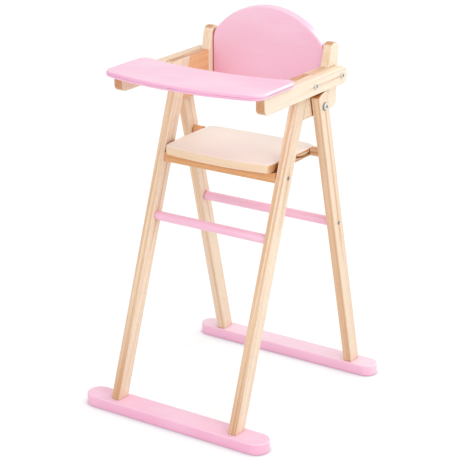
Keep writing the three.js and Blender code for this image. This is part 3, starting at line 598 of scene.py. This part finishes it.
def slab(name, points, axes, base, thickness, edge, flush=(), steps=EDGE_STEPS):
    """A board with quarter-round edges.

    The outline runs counter-clockwise in the plane of the first two axes, and the board rises along
    the third from base. The edge is the radius of the rounding. The outline's flush edges, given by
    index, keep their place where the board meets another.
    """
    across, up, out = axes
    # Each step of the rounding: inset, height, and how much its edge is rubbed lighter with a painted highlight
    rounding = []
    for k in range(steps + 1):
        angle = QUARTER_TURN * k / steps
        rounding.append((edge * (1 - math.cos(angle)), edge * (1 - math.sin(angle)),
                         math.sin(2 * angle)))
    levels = [
        (edge, EDGE_BAND, 0.0, 0.0),
        *((inset, 0.0, height, wear_and_highlight) for inset, height, wear_and_highlight in reversed(rounding)),
        (0.0, 0.0, edge + EDGE_BAND, 0.0),
        (0.0, 0.0, thickness - edge - EDGE_BAND, 0.0),
        *((inset, 0.0, thickness - height, wear_and_highlight) for inset, height, wear_and_highlight in rounding),
        (edge, EDGE_BAND, thickness, 0.0),
    ]

    data = bmesh.new()
    weight = data.verts.layers.float.new("edge")
    rings = []
    for inset, extra, height, wear_and_highlight in levels:
        ring = []
        for u, v in inset_points(points, flush, inset, extra):
            vertex = data.verts.new(across * u + up * v + out * (base + height))
            vertex[weight] = wear_and_highlight
            ring.append(vertex)
        rings.append(ring)
    count = len(points)
    for lower, upper in zip(rings, rings[1:]):
        for i in range(count):
            j = (i + 1) % count
            data.faces.new((lower[i], lower[j], upper[j], upper[i]))
    data.faces.new(list(reversed(rings[0])))
    data.faces.new(rings[-1])
    return new_object(name, data)


def side_slab(name, points, side, inner_x, outer_x, edge, flush=(), steps=EDGE_STEPS):
    """A board that stands along the chair's side, with the outline in the YZ plane."""
    thickness = outer_x - inner_x
    base = inner_x if side > 0 else -inner_x - thickness
    return slab(name, points, (Y_AXIS, Z_AXIS, X_AXIS), base, thickness, edge, flush, steps)


def turned(name, profile, place, direction, sides=ROUND_SIDES, closed=False):
    """A turned piece about a direction, from points (radius, height) along it.

    The profile starts and ends on the axis, or is closed as a ring's is.
    """
    turn = Z_AXIS.rotation_difference(direction).to_matrix()
    data = bmesh.new()
    rings = []
    for radius, height in profile:
        if radius < ON_AXIS:
            rings.append([data.verts.new(place + turn @ Vector((0, 0, height)))])
            continue
        ring = []
        for i in range(sides):
            angle = 2 * HALF_TURN * i / sides
            spot = Vector((radius * math.cos(angle), radius * math.sin(angle), height))
            ring.append(data.verts.new(place + turn @ spot))
        rings.append(ring)
    pairs = list(zip(rings, rings[1:]))
    if closed:
        pairs.append((rings[-1], rings[0]))
    for first, second in pairs:
        for i in range(sides):
            j = (i + 1) % sides
            corners = [first[i % len(first)], first[j % len(first)],
                       second[j % len(second)], second[i % len(second)]]
            unique = list(dict.fromkeys(corners))
            if len(unique) > 2:
                data.faces.new(unique)
    return new_object(name, data)


def cutter_rod(radius, place, direction, low, high, sides=ROUND_SIDES):
    """A plain round tool for holes."""
    profile = [(0, low), (radius, low), (radius, high), (0, high)]
    return turned("tool", profile, place, direction, sides)


def cut(piece, tools):
    """Cuts the tools out of a piece for good and removes them."""
    for tool in tools:
        modifier = piece.modifiers.new("cut", "BOOLEAN")
        modifier.operation = "DIFFERENCE"
        modifier.solver = "EXACT"
        modifier.object = tool
    bpy.context.view_layer.update()
    depsgraph = bpy.context.evaluated_depsgraph_get()
    cut_mesh = bpy.data.meshes.new_from_object(piece.evaluated_get(depsgraph))
    piece.modifiers.clear()
    piece.data = cut_mesh
    for tool in tools:
        bpy.data.objects.remove(tool)


# How deep in tone a piece is, partly its own wood and partly painted shade, or how much painted light makes it
# paler where negative; how calm its wood, or how much painted shade its lacquered rim faces or its steel get; and
# how much their narrow faces differ, partly as painted shade
PLAIN = (0.0, 0.0, 1.0)
TONES_AND_PAINTED_SHADING = {
    "seat_board": (-0.7, 1.0, 1.0),
    "seat_rail_board": (1.0, 0.0, 1.0),
    "side_panel_left_board": (1.0, 0.0, 1.0),
    "side_panel_right_board": (0.1, 0.3, 1.0),
    "seat_peg_left_dowel": (1.0, 0.0, 1.0),
    "seat_peg_right_dowel": (0.7, 0.0, 1.0),
    "tray_arm_right_board": (0.0, 0.6, 0.8),
    "tray_arm_left_board": (0.2, 0.3, 0.8),
    "back_post_right_board": (0.0, 0.7, 0.75),
    "back_post_left_board": (0.1, 0.6, 0.6),
    "front_leg_right_board": (0.15, 0.0, 1.0),
    "front_leg_left_board": (0.1, 0.0, 0.9),
    "rear_leg_right_board": (0.2, 0.2, 1.0),
    "rear_leg_left_board": (0.15, 0.2, 0.9),
    "backrest_board": (0.45, 0.0, 1.0),
    "rear_foot_board": (-0.8, 0.6, 1.0),
    "front_foot_board": (0.0, 0.3, 1.0),
    "tray_board": (0.0, 0.9, 1.0),
    "front_rung_dowel": (0.3, 0.0, 1.0),
    "rear_rung_dowel": (0.5, 0.0, 1.0),
    "pivot_washer_outer_right_ring": (0.0, 0.62, 1.0),
    "pivot_washer_outer_left_ring": (0.0, 0.62, 1.0),
}
# How much deeper in tone, as painted shade, a piece gets per metre downwards
SHADE_FALLS = {"backrest_board": 10.0}

# Where in a trunk a piece can be sawn from
TRUNK_LENGTH = 3
PITH_TURN_SHARES = (0.15, 0.75)
PITH_DISTANCES = (35 * MM, 75 * MM)
GRAIN_DRIFT = 0.02


def write_look(piece, along, through, hollow=None):
    """Stores what the materials read: place along the grain, which way each face looks, and rubbed edges with a
    painted highlight.

    The grain runs along one direction. Each piece is sawn from its own place in a trunk, drawn from
    its name. The look holds rubbed edges with a painted highlight, the tone with painted shade or painted
    light, and a calm grain, or painted shade on a lacquered rim or on steel.
    """
    draw = random.Random(piece.name)
    along = along.normalized()
    through = (through - along * through.dot(along)).normalized()
    across = along.cross(through)
    start = draw.uniform(0, TRUNK_LENGTH)
    pith_angle = draw.uniform(*PITH_TURN_SHARES) * HALF_TURN
    pith_distance = draw.uniform(*PITH_DISTANCES)
    pith_across = pith_distance * math.cos(pith_angle)
    pith_through = pith_distance * math.sin(pith_angle)
    drift = draw.uniform(-GRAIN_DRIFT, GRAIN_DRIFT)
    # The second number is a calm grain on wood, and painted shade on a lacquered rim or on steel
    tone, calm, narrow = TONES_AND_PAINTED_SHADING.get(piece.name, PLAIN)
    shade_fall = SHADE_FALLS.get(piece.name, 0.0)
    mesh = piece.data
    centre = sum((v.co for v in mesh.vertices), Vector()) / len(mesh.vertices)
    wear_and_highlight = mesh.attributes.get("edge")
    grain = mesh.attributes.new("grain", "FLOAT_VECTOR", "POINT")
    faces = mesh.attributes.new("faces", "FLOAT_VECTOR", "POINT")
    look = mesh.attributes.new("look", "FLOAT_VECTOR", "POINT")
    for i, vertex in enumerate(mesh.vertices):
        spot = vertex.co - centre
        run = spot.dot(along)
        grain.data[i].vector = (
            run + start,
            spot.dot(across) + pith_across,
            spot.dot(through) + pith_through + drift * run,
        )
        normal = vertex.normal
        faces.data[i].vector = (
            abs(normal.dot(along)), abs(normal.dot(across)) * narrow, abs(normal.dot(through)),
        )
        edge = wear_and_highlight.data[i].value if wear_and_highlight else 0.0
        tone_and_shade = min(1.0, max(-1.0, tone - shade_fall * spot.z))
        look.data[i].vector = (edge, tone_and_shade, hollow(vertex.co) if hollow else calm)


def finish_piece(piece, slot_name, body, nodes, along, through=X_AXIS, hollow=None):
    """Gives a piece its finish, and ties it to its body and to the CAD nodes that it stands for."""
    mesh = piece.data
    mesh.shade_smooth()
    mesh.set_sharp_from_angle(angle=SHARP_ANGLE)
    write_look(piece, along, through, hollow)
    mesh.materials.clear()
    mesh.materials.append(FINISHES[slot_name])
    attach(piece, body)
    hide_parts(*nodes)


def make_foot(name, node, body):
    """A foot board with round ends and rounded edges."""
    low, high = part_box(node)
    radius = (high.y - low.y) / 2
    y = (high.y + low.y) / 2
    points = [
        *arc(high.x - radius, y, radius, -QUARTER_TURN, QUARTER_TURN, FOOT_STEP),
        *arc(low.x + radius, y, radius, QUARTER_TURN, 3 * QUARTER_TURN, FOOT_STEP),
    ]
    foot = slab(name, points, LEVEL_AXES, low.z, high.z - low.z, FOOT_EDGE, steps=SOFT_STEPS)
    finish_piece(foot, "pink_lacquer", body, [node], X_AXIS, Z_AXIS)


def flat_screw_hole(node, side, face_x):
    """Tool for the countersunk hole of a flush screw."""
    head = FLAT_HEAD / 2 + SEAT_GAP
    shank = SCREW_SHANK / 2
    profile = [(0, -FLAT_HOLE_DEPTH), (shank, -FLAT_HOLE_DEPTH), (shank, -FLAT_SINK),
               (head, -SEAT_GAP), (head, CUT_OVERRUN), (0, CUT_OVERRUN)]
    return turned("tool", profile, face_spot(node, side, face_x), X_AXIS * side)


def arm_screw_hole(node, side, low, high):
    """Tool for an arm screw's hole, from one distance out of the middle to just past another."""
    return cutter_rod(ARM_SCREW_HOLE / 2, face_spot(node, side, 0), X_AXIS * side,
                      low, high + CUT_OVERRUN)


def make_front_leg(side, label):
    """A leaning front leg whose top widens into a nose under the tray arm."""
    top = leg_high.z
    foot = leg_low.z
    nose_y = leg_y(top) - leg_half - LEG_NOSE_LENGTH
    nose_z = top - LEG_NOSE_HEIGHT
    points = rounded_outline([
        (leg_y(foot) - leg_half, foot),
        (leg_y(foot) + leg_half, foot),
        (leg_y(top) + leg_half, top),
        (nose_y, top, LEG_NOSE_RADIUS),
        (nose_y, nose_z, LEG_HEEL_RADIUS),
        (leg_y(nose_z) - leg_half, nose_z, LEG_HEEL_RADIUS),
    ])
    leg = side_slab(f"front_leg_{label}_board", points, side, leg_low.x, leg_high.x,
                    EASED_EDGE, flush=(0,))
    rung = middle("front_rung")
    rung_low, rung_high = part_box("front_rung")
    cut(leg, [
        cutter_rod((rung_high.z - rung_low.z) / 2 + SEAT_GAP, rung, X_AXIS,
                   rung_low.x - SEAT_GAP, rung_high.x + SEAT_GAP),
        flat_screw_hole(f"rail_screw_{label}", side, leg_high.x),
        arm_screw_hole(f"arm_screw_front_{label}", side, leg_low.x + BLIND_WALL, leg_high.x),
    ])
    along = Vector((0, math.sin(LEG_LEAN), math.cos(LEG_LEAN)))
    finish_piece(leg, "pale_wood", FRONT_FRAME, [f"front_leg_{label}"], along)


def make_side_panel(side, label):
    """The panel between the front leg and the back post."""
    front = leg_half + PANEL_GAP
    points = [
        (leg_y(panel_low.z) + front, panel_low.z),
        (panel_high.y, panel_low.z),
        (panel_high.y, panel_high.z),
        (leg_y(panel_high.z) + front, panel_high.z),
    ]
    panel = side_slab(f"side_panel_{label}_board", points, side, panel_low.x, panel_high.x,
                      CRISP_EDGE)
    cut(panel, [cutter_rod(BOLT_SHANK / 2 + SEAT_GAP, pivot_centre, X_AXIS * side,
                           panel_low.x + PANEL_BORE_WALL, panel_high.x + CUT_OVERRUN)])
    finish_piece(panel, "pale_wood", FRONT_FRAME, [f"side_panel_{label}"], Y_AXIS)


def make_back_post(side, label):
    """A back post that leans back a little and sweeps forward to the tray arm's top."""
    foot = Vector((post_low.y, arm_high.z))
    flare_top = foot + Vector((POST_FLARE_DEPTH, POST_FLARE_HEIGHT))
    front_top = Vector((post_high.y - POST_TOP_DEPTH, post_high.z))
    bend = flare_top - (front_top - flare_top).normalized() * (POST_FLARE_HEIGHT / 2)
    flare = []
    for i in range(FLARE_STEPS + 1):
        t = i / FLARE_STEPS
        spot = flare_top * (1 - t) ** 2 + bend * 2 * t * (1 - t) + foot * t ** 2
        flare.append((spot.x, spot.y))
    points = rounded_outline([
        (post_low.y, post_low.z),
        (post_low.y + POST_DEPTH, post_low.z, POST_HEEL_RADIUS),
        (post_high.y, post_high.z, POST_TOP_RADIUS),
        (front_top.x, front_top.y, POST_TOP_RADIUS),
        *flare,
    ])
    post = side_slab(f"back_post_{label}_board", points, side, post_low.x, post_high.x, EASED_EDGE)
    cut(post, [arm_screw_hole(f"arm_screw_rear_{label}", side, post_low.x + BLIND_WALL, post_high.x)])
    finish_piece(post, "pale_wood", FRONT_FRAME, [f"back_post_{label}"], Z_AXIS)


def make_tray_arm(side, label):
    """A tray arm, screwed to the outside of the front leg and the back post."""
    points = rounded_outline([
        (arm_low.y, arm_low.z, ARM_NOSE_RADIUS),
        (arm_high.y, arm_low.z, ARM_TAIL_LOWER_RADIUS),
        (arm_high.y, arm_high.z, ARM_TAIL_TOP_RADIUS),
        (arm_low.y, arm_high.z),
    ])
    arm = side_slab(f"tray_arm_{label}_board", points, side, arm_low.x, arm_high.x, EASED_EDGE)
    cut(arm, [arm_screw_hole(f"arm_screw_{place}_{label}", side, arm_low.x - CUT_OVERRUN, arm_high.x)
              for place in ("front", "rear")])
    finish_piece(arm, "pale_wood", FRONT_FRAME, [f"tray_arm_{label}"], Y_AXIS)


def make_rear_leg(side, label):
    """A rear leg that turns on the pivot below its rounded top."""
    foot = rear_leg_low.z
    half = REAR_LEG_WIDTH / 2
    foot_half = half / math.cos(rear_lean)
    middle_angle = QUARTER_TURN + rear_lean
    spread = math.asin(half / REAR_LEG_END_RADIUS)
    points = [
        (rear_leg_y(foot) - foot_half, foot),
        (rear_leg_y(foot) + foot_half, foot),
        *arc(pivot.y, pivot.z, REAR_LEG_END_RADIUS, middle_angle - spread, middle_angle + spread),
    ]
    leg = side_slab(f"rear_leg_{label}_board", points, side, rear_leg_low.x, rear_leg_high.x,
                    EASED_EDGE, flush=(0,))
    cut(leg, [
        cutter_rod(BOLT_SHANK / 2 + SEAT_GAP, pivot_centre, X_AXIS * side,
                   rear_leg_low.x - CUT_OVERRUN, rear_leg_high.x + CUT_OVERRUN),
        flat_screw_hole(f"rung_screw_{label}", side, rear_leg_high.x),
    ])
    along = Vector((0, -math.sin(rear_lean), math.cos(rear_lean)))
    finish_piece(leg, "pale_wood", REAR_FRAME, [f"rear_leg_{label}"], along)


def bowed_corner(radius, corner_radius, half, bulge):
    """Where a round corner meets a bowed edge: the corner's middle and the bow's end angle."""
    x = half - corner_radius
    y = math.sqrt((radius - bulge * corner_radius) ** 2 - x ** 2)
    return x, y, math.atan2(y, x)


def make_backrest():
    """The backrest between the posts, with straight sides, soft shoulders and a round top."""
    half = backrest_high.x
    shoulder_z = backrest_high.z - BACKREST_CROWN
    radius = (half ** 2 + BACKREST_CROWN ** 2) / (2 * BACKREST_CROWN)
    centre_z = backrest_high.z - radius
    shoulder_x, shoulder_y, turn = bowed_corner(radius, BACKREST_SHOULDER_RADIUS, half, 1)
    shoulder_y += centre_z
    feet = rounded_outline([
        (-half, shoulder_z),
        (-half, backrest_low.z, BACKREST_FOOT_RADIUS),
        (half, backrest_low.z, BACKREST_FOOT_RADIUS),
        (half, shoulder_z),
    ])[1:-1]
    crown = [
        *arc(shoulder_x, shoulder_y, BACKREST_SHOULDER_RADIUS, 0, turn, SHOULDER_STEP),
        *arc(0, centre_z, radius, turn, HALF_TURN - turn, CROWN_STEP)[1:-1],
        *arc(-shoulder_x, shoulder_y, BACKREST_SHOULDER_RADIUS, HALF_TURN - turn, HALF_TURN,
             SHOULDER_STEP),
    ]
    axes = (X_AXIS, Z_AXIS, -Y_AXIS)
    thickness = backrest_high.y - backrest_low.y
    rest = slab("backrest_board", feet + crown, axes, -backrest_high.y, thickness,
                BACKREST_EDGE, steps=SOFT_STEPS)
    finish_piece(rest, "pink_lacquer", FRONT_FRAME, ["backrest"], X_AXIS, Y_AXIS)


def make_tray():
    """The tray: a band between two like bows, with round corners and rounded edges."""
    half = tray_high.x
    radius = (half ** 2 + TRAY_BOW ** 2) / (2 * TRAY_BOW)
    front_centre = tray_low.y + radius
    rear_centre = front_centre + TRAY_DEPTH
    front_x, front_y, front_turn = bowed_corner(radius, TRAY_FRONT_RADIUS, half, 1)
    rear_x, rear_y, rear_turn = bowed_corner(radius, TRAY_REAR_RADIUS, half, -1)
    front_y = front_centre - front_y
    rear_y = rear_centre - rear_y
    points = [
        *arc(0, front_centre, radius, front_turn - HALF_TURN, -front_turn, BOW_STEP),
        *arc(front_x, front_y, TRAY_FRONT_RADIUS, -front_turn, 0)[1:],
        *arc(rear_x, rear_y, TRAY_REAR_RADIUS, 0, HALF_TURN - rear_turn),
        *arc(0, rear_centre, radius, -rear_turn, rear_turn - HALF_TURN, BOW_STEP)[1:],
        *arc(-rear_x, rear_y, TRAY_REAR_RADIUS, rear_turn, HALF_TURN)[1:],
        *arc(-front_x, front_y, TRAY_FRONT_RADIUS, HALF_TURN, HALF_TURN + front_turn)[:-1],
    ]
    tray = slab("tray_board", points, LEVEL_AXES, tray_low.z, tray_high.z - tray_low.z,
                TRAY_EDGE, steps=SOFT_STEPS)
    finish_piece(tray, "pink_lacquer", FRONT_FRAME, ["tray"], X_AXIS, Z_AXIS)


def seat_outline():
    """The seat bows out at the front and the back, and narrows towards the front."""
    half = seat_high.x
    front_half = half - SEAT_TAPER
    front_radius = (front_half ** 2 + SEAT_FRONT_BOW ** 2) / (2 * SEAT_FRONT_BOW)
    rear_radius = (half ** 2 + SEAT_REAR_BOW ** 2) / (2 * SEAT_REAR_BOW)
    front_centre = seat_low.y + front_radius
    rear_centre = seat_high.y - rear_radius
    front_x, front_y, front_turn = bowed_corner(front_radius, SEAT_FRONT_RADIUS, front_half, 1)
    rear_x, rear_y, rear_turn = bowed_corner(rear_radius, SEAT_REAR_RADIUS, half, 1)
    waist = seat_low.y + (seat_high.y - seat_low.y) * SEAT_TAPER_SHARE
    right = [
        *arc(front_x, front_centre - front_y, SEAT_FRONT_RADIUS, -front_turn, 0)[1:],
        (half, waist),
        *arc(rear_x, rear_centre + rear_y, SEAT_REAR_RADIUS, 0, rear_turn),
    ]
    left = [(-x, y) for x, y in reversed(right)]
    return [
        *arc(0, front_centre, front_radius, front_turn - HALF_TURN, -front_turn, BOW_STEP),
        *right,
        *arc(0, rear_centre, rear_radius, rear_turn, HALF_TURN - rear_turn, BOW_STEP)[1:-1],
        *left,
    ]


def groove_tool(side):
    """Tool for the groove in the seat's edge that the pin of the seat peg follows."""
    peg = middle("seat_peg_right")
    radius = math.hypot(peg.y - pivot.y, peg.z - pivot.z)
    start = math.atan2(peg.z - pivot.z, peg.y - pivot.y)
    end = start - GROOVE_TURN
    start_y, start_z = pivot.y + radius * math.cos(start), pivot.z + radius * math.sin(start)
    end_y, end_z = pivot.y + radius * math.cos(end), pivot.z + radius * math.sin(end)
    points = [
        *arc(pivot.y, pivot.z, radius + GROOVE_HALF, end, start, GROOVE_STEP),
        *arc(start_y, start_z, GROOVE_HALF, start, start + HALF_TURN)[1:-1],
        *arc(pivot.y, pivot.z, radius - GROOVE_HALF, start, end, GROOVE_STEP),
        *arc(end_y, end_z, GROOVE_HALF, end + HALF_TURN, end + 2 * HALF_TURN)[1:-1],
    ]
    return side_slab("tool", points, side, seat_high.x - GROOVE_DEPTH,
                     seat_high.x + GROOVE_OVERRUN, GROOVE_EDGE, steps=1)


def make_seat():
    """The seat board, grooved in both side edges."""
    seat = slab("seat_board", seat_outline(), LEVEL_AXES, seat_low.z, seat_high.z - seat_low.z,
                SEAT_EDGE, steps=SOFT_STEPS)
    cut(seat, [groove_tool(side) for side, _ in SIDES])
    finish_piece(seat, "pale_wood", FRONT_FRAME, ["seat"], X_AXIS, Z_AXIS)


def make_seat_rail():
    """The rail under the front of the seat."""
    points = rounded_outline([
        (rail_low.y, rail_low.z, EASED_EDGE),
        (rail_high.y, rail_low.z, EASED_EDGE),
        (rail_high.y, rail_high.z, EASED_EDGE),
        (rail_low.y, rail_high.z, EASED_EDGE),
    ])
    axes = (Y_AXIS, Z_AXIS, X_AXIS)
    rail = slab("seat_rail_board", points, axes, rail_low.x, rail_high.x - rail_low.x,
                RAIL_END_EDGE, steps=RAIL_END_STEPS)
    finish_piece(rail, "pale_wood", FRONT_FRAME, ["seat_rail"], X_AXIS, Z_AXIS)


def make_rod(name, node, body, slot_name):
    """A rung or peg, turned about X, with rounded rims."""
    low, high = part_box(node)
    inner_radius = (high.z - low.z) / 2 - ROD_RIM
    profile = [
        (0, low.x),
        *arc(inner_radius, low.x + ROD_RIM, ROD_RIM, -QUARTER_TURN, 0, ROD_STEP),
        *arc(inner_radius, high.x - ROD_RIM, ROD_RIM, 0, QUARTER_TURN, ROD_STEP),
        (0, high.x),
    ]
    piece = turned(name, profile, face_spot(node, 1, 0), X_AXIS)
    finish_piece(piece, slot_name, body, [node], X_AXIS, Z_AXIS)


def dome(radius, base, rise):
    """Profile of a domed head from its rim to its middle."""
    angles = [QUARTER_TURN * i / DOME_STEPS for i in range(DOME_STEPS)]
    return [*((radius * math.cos(a), base + rise * math.sin(a)) for a in angles), (0, base + rise)]


def shank_tip(radius, length, taper):
    """Profile of a shank's tapered end."""
    return [(0, -length), (radius - taper, -length), (radius, TIP_LENGTH - length)]


def hollow_within(face, mouth_x, reach, elsewhere=0.0):
    """Makes a rule for how much painted shade darkens a head: fully in its hollow, and elsewhere by a share."""
    def hollow(spot):
        near = math.hypot(spot.y - face.y, spot.z - face.z) < reach
        return 1.0 if near and abs(spot.x) < mouth_x else elsewhere

    return hollow


def cross_tools(place, out, floor, mouth):
    """Tools for the cross recess of a screw head, tapered towards its floor."""
    tools = []
    turn = Z_AXIS.rotation_difference(out).to_matrix()
    for spin_angle in (0, QUARTER_TURN):
        spin = Matrix.Rotation(spin_angle, 3, "Z")
        data = bmesh.new()
        corners = []
        for height, share in ((floor, RECESS_FLOOR_SHARE), (mouth, 1.0)):
            span = RECESS_SPAN / 2 * share
            width = RECESS_WIDTH / 2 * (1 - RECESS_TAPER_SHARE * (1 - share))
            for x, y in ((-span, -width), (span, -width), (span, width), (-span, width)):
                corners.append(data.verts.new(place + turn @ (spin @ Vector((x, y, height)))))
        data.faces.new(reversed(corners[:4]))
        data.faces.new(corners[4:])
        for i in range(4):
            j = (i + 1) % 4
            data.faces.new((corners[i], corners[j], corners[4 + j], corners[4 + i]))
        tools.append(new_object("tool", data))
    return tools


def make_arm_screw(place, side, label):
    """A domed screw through a tray arm, with a cross recess."""
    node = f"arm_screw_{place}_{label}"
    inner, outer = span_out(node, side)
    out = X_AXIS * side
    face = face_spot(node, side, arm_high.x)
    top = outer - arm_high.x
    radius = ARM_SCREW_HEAD / 2
    shank = ARM_SCREW_SHANK / 2
    profile = [
        *shank_tip(shank, arm_high.x - inner, ARM_SCREW_TAPER), (shank, 0),
        (radius - ARM_SCREW_EASE, 0), (radius, ARM_SCREW_EASE),
        *dome(radius, ARM_SCREW_RIM, top - ARM_SCREW_RIM),
    ]
    screw = turned(f"{node}_head", profile, face, out)
    cut(screw, cross_tools(face, out, top - RECESS_DEPTH, top + CUT_OVERRUN))
    hollow = hollow_within(face, outer - ARM_HOLLOW_DEPTH, RECESS_REACH)
    finish_piece(screw, "steel", FRONT_FRAME, [node], X_AXIS, Z_AXIS, hollow)


def make_flat_screw(node, side, face_x, body):
    """A flush screw with a cross recess."""
    inner, _ = span_out(node, side)
    out = X_AXIS * side
    face = face_spot(node, side, face_x)
    shank = SCREW_SHANK / 2 - SEAT_GAP
    head = FLAT_HEAD / 2
    profile = [
        *shank_tip(shank, face_x - inner, FLAT_TAPER), (shank, -FLAT_SINK), (head, -FLAT_RIM),
        (head - FLAT_DROP, -FLAT_DROP), (0, -FLAT_DROP),
    ]
    screw = turned(f"{node}_head", profile, face, out)
    cut(screw, cross_tools(face, out, -RECESS_DEPTH, CUT_OVERRUN))
    hollow = hollow_within(face, face_x - FLAT_HOLLOW_DEPTH, RECESS_REACH, FLAT_SHADE_SHARE)
    finish_piece(screw, "steel", body, [node], X_AXIS, Z_AXIS, hollow)


def make_washer(side, label):
    """The outer washer of a pivot bolt."""
    node = f"pivot_washer_outer_{label}"
    low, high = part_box(node)
    radius = (high.z - low.z) / 2
    thickness = high.x - low.x
    face = Vector((side * rear_leg_high.x, pivot.y, pivot.z))
    bore = BOLT_SHANK / 2 + SEAT_GAP
    profile = [
        (bore, SEAT_GAP), (radius - WASHER_RIM, SEAT_GAP), (radius, WASHER_RIM),
        (radius, thickness - WASHER_RIM), (radius - WASHER_RIM, thickness), (bore, thickness),
    ]
    washer = turned(f"{node}_ring", profile, face, X_AXIS * side, closed=True)
    finish_piece(washer, "steel", FRONT_FRAME, [node], X_AXIS, Z_AXIS)


def make_pivot_bolt(side, label):
    """A pivot bolt with a domed head and a hex socket."""
    node = f"pivot_bolt_{label}"
    inner, outer = span_out(node, side)
    washer_low, washer_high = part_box(f"pivot_washer_outer_{label}")
    seat_x = rear_leg_high.x + washer_high.x - washer_low.x
    out = X_AXIS * side
    top = outer - seat_x
    radius = BOLT_HEAD / 2
    shank = BOLT_SHANK / 2
    face = Vector((side * seat_x, pivot.y, pivot.z))
    profile = [
        *shank_tip(shank, seat_x - inner, BOLT_TAPER), (shank, 0), (radius - WASHER_RIM, 0),
        (radius, WASHER_RIM), *dome(radius, BOLT_RIM, top - BOLT_RIM),
    ]
    bolt = turned(f"{node}_head", profile, face, out)
    cut(bolt, [cutter_rod(HEX_SOCKET / 2, face, out, top - HEX_DEPTH, top + CUT_OVERRUN, HEX_SIDES)])
    hollow = hollow_within(face, outer - BOLT_HOLLOW_DEPTH, HEX_SOCKET / 2 + SEAT_GAP)
    finish_piece(bolt, "steel", FRONT_FRAME, [node], X_AXIS, Z_AXIS, hollow)


make_foot("front_foot_board", "front_foot", FRONT_FRAME)
make_foot("rear_foot_board", "rear_foot", REAR_FRAME)
make_backrest()
make_tray()
make_seat()
make_seat_rail()
make_rod("front_rung_dowel", "front_rung", FRONT_FRAME, "pink_lacquer")
make_rod("rear_rung_dowel", "rear_rung", REAR_FRAME, "pink_lacquer")
for side, label in SIDES:
    make_front_leg(side, label)
    make_side_panel(side, label)
    make_back_post(side, label)
    make_tray_arm(side, label)
    make_rear_leg(side, label)
    make_rod(f"seat_peg_{label}_dowel", f"seat_peg_{label}", REAR_FRAME, "pale_wood")
    for place in ("front", "rear"):
        make_arm_screw(place, side, label)
    make_flat_screw(f"rail_screw_{label}", side, leg_high.x, FRONT_FRAME)
    make_flat_screw(f"rung_screw_{label}", side, rear_leg_high.x, REAR_FRAME)
    make_washer(side, label)
    make_pivot_bolt(side, label)

# The CAD nodes that stay shown get the same finishes
slot_of = {part["node"]: part["material_slot"] for part in frame["record"]["subparts"]}
for name, node in frame["nodes"].items():
    if node.hide_render:
        continue
    node.data.materials.clear()
    node.data.materials.append(FINISHES[slot_of[name]])

# Floor, world and lamps. The floor glows a little near the chair and is plain white far away.
FLOOR_HALF = 12
FLOOR_CELLS = 8
FLOOR_WHITE = (1.0, 1.0, 1.0, 1.0)
FLOOR_PAINT = (0.86, 0.86, 0.86, 1.0)
FLOOR_SHADE = (0.66, 0.59, 0.64, 1.0)
FLOOR_REACH = 30 * MM
FLOOR_NEAR = 0.9
FLOOR_FAR = 2.6
NEAR_GLOW = 1.24
NEAR_GLOW_SHARE = 0.5
SURROUND_LIGHT = 0.76

# Each lamp's name, place, target, size and power
LAMPS = (
    ("key", (2.3, -0.7, 1.9), (0, 0, 0.25), 2.2, 28),
    ("top", (0.2, 0.1, 3.0), (0, 0, 0.3), 2.4, 15),
    ("rim", (1.1, 2.6, 2.0), (0, 0, 0.4), 1.2, 26),
    ("fill", (-0.6, -3.0, 1.0), (0, 0, 0.25), 2.0, 18),
)


def seen_directly(graph):
    """1 for camera, glossy and transmission rays, else 0."""
    rays = graph.add("ShaderNodeLightPath").outputs
    either = graph.math("MAXIMUM", rays["Is Camera Ray"], rays["Is Glossy Ray"])
    return graph.math("MAXIMUM", either, rays["Is Transmission Ray"])


def make_floor():
    """A plain white floor that keeps a faint cast shadow with a painted shadow near the piece, and is all white
    far from the piece.
    """
    data = bmesh.new()
    bmesh.ops.create_grid(data, x_segments=FLOOR_CELLS, y_segments=FLOOR_CELLS, size=FLOOR_HALF)
    floor = new_object("floor", data)
    graph = Graph(bpy.data.materials.new("white_floor"))
    # Painted shadow near the piece, in both the paint and the glow
    white = graph.shaded(FLOOR_WHITE, FLOOR_REACH, FLOOR_SHADE, open_share=0.85, shut_share=0.35)
    paint = graph.tinted(white, FLOOR_PAINT)
    spot = graph.add("ShaderNodeNewGeometry").outputs["Position"]
    away = graph.add("ShaderNodeVectorMath", {0: spot}, operation="LENGTH").outputs["Value"]
    strength = graph.band(away, FLOOR_NEAR, FLOOR_FAR, NEAR_GLOW, 1.0)
    share = graph.band(away, FLOOR_NEAR, FLOOR_FAR, NEAR_GLOW_SHARE, 1.0)
    diffuse = graph.add("ShaderNodeBsdfDiffuse", {"Color": paint}).outputs["BSDF"]
    glow = graph.add("ShaderNodeEmission", {"Color": white, "Strength": strength}).outputs["Emission"]
    factor = graph.times(seen_directly(graph), share)
    blend = graph.add("ShaderNodeMixShader", {0: factor, 1: diffuse, 2: glow})
    graph.add("ShaderNodeOutputMaterial", {"Surface": blend.outputs["Shader"]})
    floor.data.materials.append(graph.owner)


def make_world():
    """An even pale surround that is white where it is seen directly."""
    world = bpy.data.worlds.new("studio")
    bpy.context.scene.world = world
    graph = Graph(world)
    strength = graph.add("ShaderNodeMix", {0: seen_directly(graph), 2: SURROUND_LIGHT, 3: 1.0})
    background = graph.add("ShaderNodeBackground", {"Strength": strength.outputs[0]})
    graph.add("ShaderNodeOutputWorld", {"Surface": background.outputs["Background"]})


def make_lamp(name, place, target, size, power):
    """A square softbox that looks at its target."""
    light = bpy.data.lights.new(name, "AREA")
    light.shape = "SQUARE"
    light.size = size
    light.energy = power
    lamp = bpy.data.objects.new(name, light)
    bpy.context.scene.collection.objects.link(lamp)
    lamp.location = place
    lamp.rotation_euler = (Vector(target) - Vector(place)).to_track_quat("-Z", "Y").to_euler()


make_floor()
make_world()
for lamp_settings in LAMPS:
    make_lamp(*lamp_settings)

bpy.context.scene.view_settings.view_transform = "Standard"
